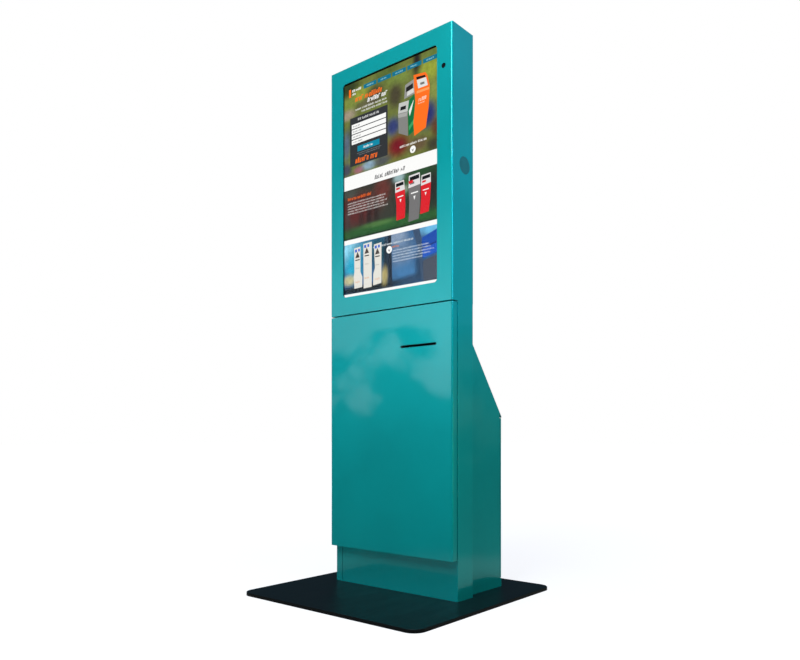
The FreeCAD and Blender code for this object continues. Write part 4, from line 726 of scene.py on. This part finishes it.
class KIOSK_OT_display_picture(bpy.types.Operator):
    """Lay the lit picture on the display panel, behind the glass"""

    bl_idname = "kiosk.display_picture"
    bl_label = "Display picture"

    # Each step names a method of the sheet and gives its values.
    STEPS = (
        ("scenery", 0.0, 60.5, PARK, 64), ("bar", 0, 60.5, 78, 69.5, WHITE, 1),
        ("scenery", 69.5, 102.3, CAMPUS, 44), ("bar", 0, 102.3, 78, 105.3, WHITE, 1),
        ("scenery", 105.3, 138.0, TOWER, 44),
        # A pillar with its shaded side, and two canopies over a grey wall, in the bottom scene.
        ("shape", ((37.7, 105.3), (40.5, 105.3), (41.5, 138.0), (38.4, 138.0)), (34, 40, 54), 1.4),
        ("shape", ((57.6, 105.3), (62.8, 105.3), (64.4, 111.6), (65.6, 138.0), (64.8, 138.0), (62.0, 118.0)),
         (60, 80, 108), 1.4),
        ("shape", ((64.8, 111.4), (78.0, 107.2), (78.0, 114.8), (65.1, 117.0)), (30, 76, 168), 1.4),
        ("shape", ((65.2, 118.2), (78.0, 115.6), (78.0, 121.2), (65.5, 123.8)), (34, 86, 190), 1.4),
        ("shape", ((65.6, 125.4), (78.0, 122.8), (78.0, 138.0), (66.0, 138.0)), (74, 79, 92), 1.4),
        ("bar", 0, 138.0, 78, 140.0, WHITE, 1),
        # The menu, the heading and the form.
        *(("button", 17.2 + index * 12.1, 20 + index) for index in range(5)),
        ("bar", 4.2, 3.6, 6.0, 8.8, "accent", 2),
        ("words", 7.0, 4.4, 15.2, 6.0, WHITE, 3, 2, 0.2), ("words", 7.0, 6.8, 12.4, 8.2, WHITE, 3, 3, 0.2),
        ("words", 9.6, 9.8, 37.6, 13.0, "accent", 3, 4, 0.25),
        ("words", 20.4, 13.5, 37.6, 16.2, WHITE, 3, 5, 0.25),
        ("words", 10.0, 17.6, 37.2, 18.9, (226, 226, 220), 3, 6),
        ("words", 15.4, 19.9, 37.2, 21.1, (220, 220, 214), 3, 7),
        ("bar", 5.2, 22.8, 37.6, 54.6, (50, 52, 54), 2),
        ("words", 12.2, 24.2, 30.4, 25.7, (214, 214, 214), 3, 8),
        *(("field", 27.3 + index * 3.42, 14.0 + index, 30 + index) for index in range(4)),
        ("bar", 11.8, 42.3, 30.8, 45.9, (14, 136, 164), 3), ("words", 17.2, 43.4, 25.6, 44.8, WHITE, 4, 9),
        ("words", 11.4, 46.7, 32.6, 47.4, GREY, 3, 10), ("words", 13.0, 47.9, 31.0, 48.6, GREY, 3, 11),
        ("words", 9.8, 49.8, 34.0, 53.2, "accent", 3, 12, 0.2),
        # The group of machines in the top scene: two grey heads, a green body and the tall one.
        ("shape", ((51.8, 15.2), (58.6, 13.6), (59.4, 22.6), (51.0, 23.6)), (150, 150, 146), 2),
        ("shape", ((52.6, 17.0), (57.8, 15.8), (58.0, 18.8), (52.4, 19.8)), (34, 32, 32), 3),
        ("shape", ((53.6, 19.9), (58.4, 19.0), (58.6, 21.6), (53.2, 22.4)), (216, 216, 212), 3),
        ("shape", ((53.8, 26.0), (59.4, 22.6), (59.6, 44.8), (54.4, 47.2)), (16, 112, 62), 3),
        ("shape", ((54.6, 32.0), (58.6, 26.0), (57.0, 31.5), (55.4, 35.4)), (236, 240, 234), 4),
        ("shape", ((54.6, 41.4), (59.0, 37.6), (59.2, 40.0), (54.8, 44.0)), (58, 158, 96), 4),
        ("shape", ((46.9, 25.0), (54.8, 25.4), (53.8, 31.8), (46.2, 31.2)), (196, 198, 194), 4),
        ("shape", ((48.2, 27.6), (52.6, 27.8), (52.2, 30.0), (47.9, 29.8)), (30, 30, 32), 5),
        ("shape", ((46.2, 31.2), (53.8, 31.8), (54.0, 47.0), (46.6, 43.4)), (132, 132, 128), 4),
        ("shape", ((46.0, 31.6), (53.8, 32.2), (53.0, 34.6), (46.4, 33.8)), (168, 168, 164), 5),
        ("shape", ((58.4, 11.2), (67.4, 12.2), (69.0, 14.4), (70.8, 21.4), (69.9, 34.0), (67.8, 45.6),
                   (59.0, 48.4), (58.3, 40.0), (59.8, 28.0), (58.8, 18.0)), "accent", 5),
        ("shape", ((60.4, 13.0), (67.2, 13.8), (67.8, 15.2), (60.8, 14.8)), (22, 20, 20), 6),
        ("shape", ((60.9, 15.0), (68.0, 15.4), (69.3, 20.6), (62.0, 20.4)), (224, 226, 224), 6),
        ("shape", ((63.4, 17.4), (66.6, 17.6), (66.9, 19.0), (63.8, 18.9)), (120, 118, 112), 7),
        ("shape", ((60.9, 21.6), (70.5, 22.0), (70.3, 23.4), (60.7, 23.2)), (255, 158, 88), 6),
        ("words", 62.2, 26.4, 69.4, 28.4, (255, 226, 204), 6, 13, 0.2),
        ("words", 62.0, 29.2, 67.0, 30.0, (255, 214, 184), 6, 14),
        ("words", 47.6, 51.6, 69.0, 53.0, (238, 236, 230), 3, 15), ("badge", 57.8, 56.2, 2.2),
        # The heading between the scenes, and the middle scene's print and three machines.
        ("words", 26.6, 64.8, 52.4, 67.4, INK, 2, 16, 0.25),
        ("words", 3.2, 74.6, 26.2, 76.5, (232, 98, 30), 3, 17),
        ("paragraph", 3.2, 78.0, 0.95, (206, 200, 196), 40, (36.4, 36.0, 36.9, 34.6, 38.2)),
        ("machine", 43.6, 73.2, 0.86, RED, 1.0, 3), ("machine", 64.4, 73.4, 0.84, RED, -1.6, 3),
        ("machine", 54.6, 71.4, 1.02, (116, 114, 114), -0.6, 5),
        ("shape", ((54.6, 75.0), (58.0, 74.9), (58.0, 76.6), (54.8, 76.8)), RED, 8),
        # The bottom scene's print and three tall machines.
        ("words", 25.6, 110.0, 58.4, 111.2, (214, 224, 230), 3, 18),
        ("words", 41.6, 112.4, 47.6, 113.6, (214, 122, 56), 3, 19),
        ("paragraph", 41.8, 115.0, 0.9, (198, 212, 226), 50, (71.0, 71.4, 74.2, 72.0, 66.6)),
        ("badge", 38.9, 114.3, 2.3),
        ("totem", (8.9, 108.6), (14.4, 108.2), (14.4, 124.6), (16.1, 128.0), (16.0, 134.6), (9.1, 135.0),
         (8.4, 127.2), (9.1, 124.0)),
        ("totem", (17.0, 107.0), (24.3, 106.7), (24.2, 135.6), (17.2, 135.8)),
        ("totem", (26.1, 108.9), (32.5, 108.4), (32.3, 134.2), (25.4, 135.0), (25.6, 127.4), (27.0, 124.0)),
    )

    def execute(self, context):
        sheet = PictureSheet(context.scene.kiosk_picture)
        for method, *values in self.STEPS:
            getattr(sheet, method)(*values)
        make_piece("screen_picture", sheet.bm, "picture_light", outward=False)
        return {"FINISHED"}


class KIOSK_OT_panel_back(bpy.types.Operator):
    """Add the pressed ribs and screws on the back of the display panel"""

    bl_idname = "kiosk.panel_back"
    bl_label = "Back of the display panel"

    # How deep ribs and bars are sunk into the sheet, and how far each stands proud of it.
    SUNK, RIB_PROUD, BAR_PROUD = 0.0004, 0.0026, 0.0022
    # Distance of the upright ribs from the middle, their half width and the heights of their ends.
    RIB_SIDE, RIB_HALF, RIB_ENDS = 0.112, 0.016, ((0.96, 1.10), (1.28, 1.44), (1.47, 1.62))
    # Half length, half width and heights of the level bars.
    BAR_LONG, BAR_HALF, BAR_LEVELS = 0.085, 0.009, (0.962, 1.638)
    SCREW_SIDES, SCREW_LEVELS = (-0.192, -0.136, 0.136, 0.192), (0.955, 1.200, 1.400, 1.645)
    SCREW_SUNK = 0.0002
    SCREW_HEAD = ((0.0, 0.0), (0.0032, 0.0), (0.0032, 0.0011), (0.0024, 0.0020), (0.0, 0.0022))

    def execute(self, context):
        bm = bmesh.new()
        back = PANEL_HIGH.y
        for side in (-1, 1):
            for low, high in self.RIB_ENDS:
                middle = side * self.RIB_SIDE
                block(bm, (middle - self.RIB_HALF, back - self.SUNK, low),
                      (middle + self.RIB_HALF, back + self.RIB_PROUD, high), 0.0014, 3)
        for level in self.BAR_LEVELS:
            block(bm, (-self.BAR_LONG, back - self.SUNK, level - self.BAR_HALF),
                  (self.BAR_LONG, back + self.BAR_PROUD, level + self.BAR_HALF), 0.0012, 3)
        make_piece("panel_back_ribs", bm, "zinc")

        bm = bmesh.new()
        for x in self.SCREW_SIDES:
            for z in self.SCREW_LEVELS:
                turned(bm, (x, back - self.SCREW_SUNK, z), (0, 1, 0), self.SCREW_HEAD, SMALL_STEPS)
        make_piece("panel_back_screws", bm, "zinc")
        return {"FINISHED"}


class KIOSK_OT_display_controller(bpy.types.Operator):
    """Build the display controller: tray, circuit board, fins and sockets"""

    bl_idname = "kiosk.display_controller"
    bl_label = "Display controller"

    # Tray: sheet, how far its sides lie inside its edges, how far they reach into its floor and stop short of
    # its height.
    SHEET, SIDE_INSET, SIDE_SUNK, SIDE_SHORT = 0.0015, 0.0003, 0.0004, 0.012
    # The board's distance from the edges and above the tray, and the height of its upper face.
    BOARD_INSET, BOARD_FACE = 0.006, 0.0076
    # Heat sink: corners as x and z from the board's low corner, gap under it, base and fins.
    SINK_START, SINK_END = (0.030, 0.034), (0.090, 0.106)
    SINK_GAP, SINK_BASE, FIN_FOOT, FIN = 0.001, 0.003, 0.0024, 0.0014
    # Start, width and height of each socket along the lower edge, and the sockets' depth in z.
    SOCKETS = ((0.012, 0.020, 0.009), (0.036, 0.020, 0.009), (0.062, 0.016, 0.008), (0.084, 0.012, 0.012))
    SOCKET_DEEP = 0.014
    # Chips: ends from the right edge, height above the board, size in z, and where each starts.
    CHIP_ENDS, CHIP_HIGH, CHIP_TALL = (-0.046, -0.032), 0.0016, 0.014
    CHIP_LEVELS = (0.030, 0.052, 0.074, 0.096)
    CAN_SIDES, CAN_LEVELS = (-0.024, -0.015), (0.040, 0.060, 0.080, 0.100)
    CAN = ((0.0, 0.0), (0.0032, 0.0), (0.0032, 0.0090), (0.0029, 0.0096), (0.0, 0.0096))

    def execute(self, context):
        low, high = BOARD_LOW, BOARD_HIGH
        fins = context.scene.kiosk_parts.fins
        bm = bmesh.new()
        block(bm, low, (high.x, low.y + self.SHEET, high.z), 0.0006)
        for x in (low.x + self.SIDE_INSET, high.x - self.SIDE_INSET - self.SHEET):
            block(bm, (x, low.y + self.SIDE_SUNK, low.z + self.SIDE_INSET),
                  (x + self.SHEET, high.y - self.SIDE_SHORT, high.z - self.SIDE_INSET), 0.0006)
        make_piece("controller_tray", bm, "aluminium", replaces=("display_controller",))

        bm = bmesh.new()
        inset, base = self.BOARD_INSET, low.y + self.BOARD_FACE
        block(bm, low + Vector((inset, inset, inset)), (high.x - inset, base, high.z - inset), 0.0003)
        make_piece("controller_board", bm, "board_green")

        bm = bmesh.new()
        start = Vector((low.x + self.SINK_START[0], base + self.SINK_GAP, low.z + self.SINK_START[1]))
        end = Vector((low.x + self.SINK_END[0], high.y, low.z + self.SINK_END[1]))
        block(bm, start, (end.x, start.y + self.SINK_BASE, end.z), 0.0005)
        pitch = (end.x - start.x - self.FIN) / (fins - 1)
        for index in range(fins):
            x = start.x + index * pitch
            block(bm, (x, start.y + self.FIN_FOOT, start.z), (x + self.FIN, end.y, end.z), 0.0004, 1)
        make_piece("controller_fins", bm, "dark_aluminium")

        bm = bmesh.new()
        foot = low.z + inset
        for along, wide, tall in self.SOCKETS:
            x = low.x + along
            block(bm, (x, base, foot), (x + wide, base + tall, foot + self.SOCKET_DEEP), 0.0006)
        for z in self.CHIP_LEVELS:
            block(bm, (high.x + self.CHIP_ENDS[0], base, low.z + z),
                  (high.x + self.CHIP_ENDS[1], base + self.CHIP_HIGH, low.z + z + self.CHIP_TALL), 0.0003)
        for x in self.CAN_SIDES:
            for z in self.CAN_LEVELS:
                turned(bm, (high.x + x, base, low.z + z), (0, 1, 0), self.CAN, SMALL_STEPS)
        make_piece("controller_parts", bm, "black_plastic")
        return {"FINISHED"}


class KIOSK_OT_fan_guard(bpy.types.Operator):
    """Fit the wire guard on the inner side of the fan"""

    bl_idname = "kiosk.fan_guard"
    bl_label = "Fan guard"

    RADII = (0.008, 0.015, 0.022, 0.029, 0.036)
    # Spokes: how many, the angle of the first, and where they start and end.
    SPOKES, FIRST_SPOKE, SPOKE_START, SPOKE_END = 4, math.radians(45.0), 0.007, 0.0505
    # The eye at a spoke's end: distance of its middle from that end, and its radius.
    EYE_AHEAD, EYE_RADIUS = 0.0034, 0.0028

    def execute(self, context):
        wire = context.scene.kiosk_parts.wire_radius
        middle = (FAN_LOW + FAN_HIGH) / 2
        middle.y = FAN_LOW.y - wire
        bm = bmesh.new()
        for radius in self.RADII:
            ring(bm, middle, (0, 1, 0), radius, wire, 56)
        middle.y -= 2 * wire
        for index in range(self.SPOKES):
            angle = self.FIRST_SPOKE + math.tau * index / self.SPOKES
            ahead = Vector((math.cos(angle), 0.0, math.sin(angle)))
            start, end = middle + ahead * self.SPOKE_START, middle + ahead * self.SPOKE_END
            rod = bmesh.ops.create_cone(bm, cap_ends=True, segments=WIRE_SIDES, radius1=wire, radius2=wire,
                                        depth=(end - start).length)["verts"]
            turn = Vector((0, 0, 1)).rotation_difference(ahead).to_matrix()
            bmesh.ops.rotate(bm, cent=(0, 0, 0), matrix=turn, verts=rod)
            bmesh.ops.translate(bm, vec=(start + end) / 2, verts=rod)
            ring(bm, end + ahead * self.EYE_AHEAD, (0, 1, 0), self.EYE_RADIUS, wire, 20)
        make_piece("fan_guard", bm, "zinc")
        return {"FINISHED"}


class KIOSK_OT_paper_web(bpy.types.Operator):
    """Lead the paper from the roll round the platen and into the cutter"""

    bl_idname = "kiosk.paper_web"
    bl_label = "Paper web"

    # Points round the platen, and how far the web reaches into the cutter.
    STEPS, REACH = 10, 0.001

    def execute(self, context):
        thickness = context.scene.kiosk_parts.web_thickness
        roll, platen = ((ROLL_LOW + ROLL_HIGH) / 2).yz, ((PLATEN_LOW + PLATEN_HIGH) / 2).yz
        roll_radius = (ROLL_HIGH.z - ROLL_LOW.z) / 2 + thickness
        platen_radius = (PLATEN_HIGH.z - PLATEN_LOW.z) / 2 + 0.7 * thickness
        run = platen - roll
        lean = (roll_radius - platen_radius) / run.length
        ahead, aside = run.normalized(), Vector((run.y, -run.x)).normalized()
        touch = ahead * lean + aside * math.sqrt(1 - lean * lean)
        points = [roll + touch * roll_radius]
        first = math.atan2(touch.y, touch.x)
        for index in range(self.STEPS + 1):
            angle = first + (math.pi / 2 - first) * index / self.STEPS
            points.append(platen + Vector((math.cos(angle), math.sin(angle))) * platen_radius)
        cutter_low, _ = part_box("cutter_unit")
        points.append(Vector((cutter_low.y + self.REACH, platen.y + platen_radius)))
        bm = bmesh.new()
        line = [bm.verts.new((ROLL_LOW.x, y, z)) for y, z in points]
        edges = [bm.edges.new(pair) for pair in zip(line, line[1:])]
        swept = bmesh.ops.extrude_edge_only(bm, edges=edges)["geom"]
        verts = [item for item in swept if isinstance(item, bmesh.types.BMVert)]
        bmesh.ops.translate(bm, vec=(ROLL_HIGH.x - ROLL_LOW.x, 0, 0), verts=verts)
        bmesh.ops.solidify(bm, geom=bm.faces[:], thickness=thickness)
        make_piece("paper_web", bm, "paper_white")
        return {"FINISHED"}


class KIOSK_OT_feed_motor(bpy.types.Operator):
    """Build the paper feed motor: a can with a grooved waist and a flange"""

    bl_idname = "kiosk.feed_motor"
    bl_label = "Feed motor"

    # How far the can lies inside the flange, the waist inside the can, and the flange's length.
    CAN_INSET, WAIST_INSET, FLANGE = 0.0004, 0.0006, 0.0030

    def execute(self, context):
        low, high = MOTOR_LOW, MOTOR_HIGH
        middle = (low + high) / 2
        radius = min(high.y - low.y, high.z - low.z) / 2
        length = high.x - low.x
        bm = bmesh.new()
        can = radius - self.CAN_INSET
        waist, flange = can - self.WAIST_INSET, length - self.FLANGE
        turned(bm, (low.x, middle.y, middle.z), (1, 0, 0), (
            (0.0, 0.0), (can - 0.0030, 0.0), (can - 0.0012, 0.0006), (can, 0.0024), (can, length * 0.46),
            (waist, length * 0.47), (waist, length * 0.53), (can, length * 0.54), (can, flange),
            (radius, flange), (radius, length - 0.0002), (radius - 0.0004, length), (0.0, length)), 56)
        make_piece("feed_motor_can", bm, "dark_aluminium", replaces=("feed_motor",))
        return {"FINISHED"}


class KIOSK_OT_computer_ports(bpy.types.Operator):
    """Fit the row of sockets and the corner screws on the front of the computer"""

    bl_idname = "kiosk.computer_ports"
    bl_label = "Computer sockets"

    # Width and height of each socket from the left, the first one's distance from the corner, and the gaps.
    SOCKETS = (*((0.014, 0.0065),) * 4, (0.016, 0.014), (0.020, 0.010))
    MARGIN, GAP = 0.012, 0.005
    # How far the shell stands out and is sunk in, its wall, and how far its core stands out.
    SHELL_OUT, SHELL_SUNK, WALL, CORE_OUT = 0.0010, 0.0005, 0.0012, 0.0012
    SCREW_INSET, SCREW_SUNK = 0.006, 0.0002
    SCREW_HEAD = ((0.0, 0.0), (0.0028, 0.0), (0.0027, 0.0008), (0.0018, 0.0015), (0.0, 0.0016))

    def execute(self, context):
        low, high = COMPUTER_LOW, COMPUTER_HIGH
        shells, cores = bmesh.new(), bmesh.new()
        x, z = low.x + self.MARGIN, low.z + self.MARGIN
        for wide, tall in self.SOCKETS:
            block(shells, (x, low.y - self.SHELL_OUT, z),
                  (x + wide, low.y + self.SHELL_SUNK, z + tall), 0.0004)
            block(cores, (x + self.WALL, low.y - self.CORE_OUT, z + self.WALL),
                  (x + wide - self.WALL, low.y, z + tall - self.WALL), 0.0003)
            x += wide + self.GAP
        for x in (low.x + self.SCREW_INSET, high.x - self.SCREW_INSET):
            for z in (low.z + self.SCREW_INSET, high.z - self.SCREW_INSET):
                turned(shells, (x, low.y + self.SCREW_SUNK, z), (0, -1, 0), self.SCREW_HEAD, SMALL_STEPS)
        make_piece("computer_sockets", shells, "zinc")
        make_piece("computer_socket_cores", cores, "black_plastic")
        return {"FINISHED"}


class KIOSK_OT_stage(bpy.types.Operator):
    """Lay the floor, light the studio and set the camera"""

    bl_idname = "kiosk.stage"
    bl_label = "Studio stage"

    # The room's tones go by height, from 0, well below the horizon, to 1, high overhead; 0.30 is the horizon.
    ROOM_BOTTOM, ROOM_TOP = -0.30, 0.70
    ROOM_TONES = ((0.0, (0.50, 0.52, 0.50)), (0.125, (0.50, 0.52, 0.50)), (0.14, (0.020, 0.050, 0.040)),
                  (0.30, (0.025, 0.060, 0.050)), (0.42, (0.02, 0.06, 0.08)), (0.60, (0.01, 0.05, 0.08)),
                  (1.0, (0.28, 0.36, 0.44)))
    # A bright window and a pale clearing, broken up by leaves that thin out from LEAVES_LOW to LEAVES_HIGH.
    # Each has its tones, its direction, how near to it the opening fades in, and where the leaves leave gaps.
    LEAVES_SCALE, LEAVES_DETAIL, LEAVES_LOW, LEAVES_HIGH = 16.0, 4.0, -0.10, 0.40
    OPENINGS = (
        (((0.22, (0.0, 0.0, 0.0)), (0.30, (2.4, 2.6, 2.7)), (0.46, (2.6, 3.5, 3.8)), (0.66, (0.0, 0.0, 0.0))),
         (-0.50, -0.866, 0.0), (0.88, 0.99), (0.86, 0.96)),
        (((0.18, (0.0, 0.0, 0.0)), (0.26, (0.26, 0.46, 0.22)), (0.38, (0.24, 0.42, 0.26)),
          (0.46, (0.02, 0.16, 0.22)), (0.80, (0.01, 0.08, 0.12))),
         (0.56, 0.83, 0.0), (0.80, 0.97), (0.66, 0.90)),
    )
    # Name, place, target, width, height, watts, tint and spread in degrees of each light.
    LIGHTS = (
        ("key_softbox", (0.4, -2.3, 2.9), (0.0, 0.0, 1.0), 1.4, 1.4, 68.0, (0.84, 1.0, 0.93), 180.0),
        ("edge_strip", (2.6, -0.5, 1.8), (0.25, 0.0, 1.35), 0.7, 1.0, 2.5, (0.36, 1.0, 1.45), 55.0),
        ("back_softbox", (2.1, 2.6, 2.4), (0.25, 0.0, 1.3), 1.1, 2.2, 2.8, (0.30, 1.0, 1.35), 180.0),
        ("side_fill", (2.6, 0.9, 0.5), (0.2, 0.1, 0.4), 1.0, 0.8, 8.5, (0.62, 1.0, 0.50), 180.0),
        ("top_softbox", (0.3, -0.2, 3.8), (0.0, 0.0, 0.0), 2.6, 2.6, 84.0, (0.78, 1.0, 1.28), 180.0),
    )
    FLOOR_SIZE = 30.0
    # The floor's glow, and the distances from the middle between which it rises to white.
    FLOOR_NEAR, FLOOR_FAR = 0.8, 4.0
    FLOOR_TONES = ((0.0, (0.79, 0.76, 0.76)), (1.0, (1.0, 1.0, 1.0)))

    def execute(self, context):
        scene, settings = context.scene, context.scene.kiosk_stage
        self.floor(scene, settings.floor)
        self.room(scene, settings.room_light)
        for light in self.LIGHTS:
            self.softbox(scene, *light)

        camera = bpy.data.objects.new("camera", bpy.data.cameras.new("camera"))
        camera.data.sensor_fit = "HORIZONTAL"
        camera.data.sensor_width = 36.0
        camera.data.lens = settings.lens
        camera.data.shift_y = settings.rise
        camera.data.clip_end = 200.0
        camera.data.dof.use_dof = False
        camera.location = settings.camera_place
        camera.rotation_euler = (math.radians(90.0), 0.0, settings.camera_turn)
        scene.collection.objects.link(camera)
        scene.camera = camera
        scene.view_settings.view_transform = "Standard"
        return {"FINISHED"}

    def floor(self, scene, colour):
        """A big pale floor that takes the machine's shadow but lights nothing and shows in no reflection."""
        bm = bmesh.new()
        bmesh.ops.create_grid(bm, x_segments=2, y_segments=2, size=self.FLOOR_SIZE)
        mesh = bpy.data.meshes.new("studio_floor")
        bm.to_mesh(mesh)
        bm.free()
        finish = Finish("studio_floor", colour, 0.9, Specular_IOR_Level=0.0, Emission_Strength=1.0)
        reach = finish.span(finish.length(finish.place), 0.0, 1.0, self.FLOOR_NEAR, self.FLOOR_FAR)
        finish.feed("Emission Color", finish.tones(reach, *self.FLOOR_TONES))
        mesh.materials.append(finish.material)
        floor = bpy.data.objects.new("studio_floor", mesh)
        scene.collection.objects.link(floor)
        floor.visible_diffuse = False
        floor.visible_glossy = False

    def room(self, scene, strength):
        """A dim toned room that lights and is reflected, with a bright window front left and a pale clearing
        behind; the camera sees plain white."""
        world = bpy.data.worlds.new("studio_room")
        world.use_nodes = True
        background = world.node_tree.nodes["Background"]
        background.inputs["Strength"].default_value = strength
        wiring = Wiring(world.node_tree, "Generated")
        split = wiring.add("SeparateXYZ")
        wiring.link(wiring.place, split.inputs["Vector"])
        level = split.outputs["Z"]
        height = wiring.span(level, 0.0, 1.0, self.ROOM_BOTTOM, self.ROOM_TOP)
        thinning = wiring.span(level, 0.0, 1.0, self.LEAVES_LOW, self.LEAVES_HIGH)
        leaves = wiring.join("Math", "ADD", wiring.noise(self.LEAVES_SCALE, self.LEAVES_DETAIL), thinning)
        total = wiring.tones(height, *self.ROOM_TONES)
        for tones, direction, nearness, gaps in self.OPENINGS:
            facing = wiring.add("VectorMath", {1: direction}, operation="DOT_PRODUCT")
            wiring.link(wiring.place, facing.inputs[0])
            spread = wiring.span(facing.outputs["Value"], 0.0, 1.0, *nearness)
            share = wiring.join("Math", "MULTIPLY", spread, wiring.span(leaves, 0.0, 1.0, *gaps))
            opening = wiring.join("VectorMath", "SCALE", wiring.tones(height, *tones), share, "Scale")
            total = wiring.join("VectorMath", "ADD", total, opening)
        choose = wiring.add("Mix", {"B": (1.0, 1.0, 1.0, 1.0)}, data_type="RGBA")
        wiring.link(wiring.add("LightPath").outputs["Is Camera Ray"], choose.inputs["Factor"])
        wiring.link(total, choose.inputs["A"])
        wiring.link(choose.outputs["Result"], background.inputs["Color"])
        scene.world = world

    def softbox(self, scene, name, place, target, wide, tall, power, tint, spread):
        """An area light that looks at its target."""
        light = bpy.data.lights.new(name, "AREA")
        light.color = tint
        light.spread = math.radians(spread)
        light.shape = "RECTANGLE"
        light.size, light.size_y = wide, tall
        light.energy = power
        lamp = bpy.data.objects.new(name, light)
        lamp.location = place
        lamp.rotation_euler = (Vector(target) - Vector(place)).to_track_quat("-Z", "Y").to_euler()
        scene.collection.objects.link(lamp)


class KIOSK_PT_tools(bpy.types.Panel):
    """The machine's makers in the sidebar"""

    bl_label = "Ticket vending machine"
    bl_idname = "KIOSK_PT_tools"
    bl_space_type = "VIEW_3D"
    bl_region_type = "UI"
    bl_category = "Kiosk"

    def draw(self, context):
        for operator in OPERATORS:
            self.layout.operator(operator.bl_idname)
        for group in SETTINGS:
            box = self.layout.box()
            settings = getattr(context.scene, group)
            for name in settings.__annotations__:
                box.prop(settings, name)


OPERATORS = (
    KIOSK_OT_finish_parts,
    KIOSK_OT_display_picture,
    KIOSK_OT_panel_back,
    KIOSK_OT_display_controller,
    KIOSK_OT_fan_guard,
    KIOSK_OT_paper_web,
    KIOSK_OT_feed_motor,
    KIOSK_OT_computer_ports,
    KIOSK_OT_stage,
)
SETTINGS = {
    "kiosk_paint": KioskPaintSettings,
    "kiosk_picture": KioskPictureSettings,
    "kiosk_parts": KioskPartsSettings,
    "kiosk_stage": KioskStageSettings,
}
CLASSES = (*SETTINGS.values(), *OPERATORS, KIOSK_PT_tools)


def register():
    """Adds the classes and their settings."""
    for item in CLASSES:
        bpy.utils.register_class(item)
    for name, group in SETTINGS.items():
        setattr(bpy.types.Scene, name, bpy.props.PointerProperty(type=group))


def unregister():
    """Takes the classes and their settings away."""
    for name in SETTINGS:
        delattr(bpy.types.Scene, name)
    for item in reversed(CLASSES):
        bpy.utils.unregister_class(item)


def main():
    """Makes every piece in order."""
    register()
    for operator in OPERATORS:
        group, name = operator.bl_idname.split(".")
        if getattr(getattr(bpy.ops, group), name)() != {"FINISHED"}:
            raise RuntimeError(f"{operator.bl_label} did not finish")


if __name__ == "__main__":
    main()
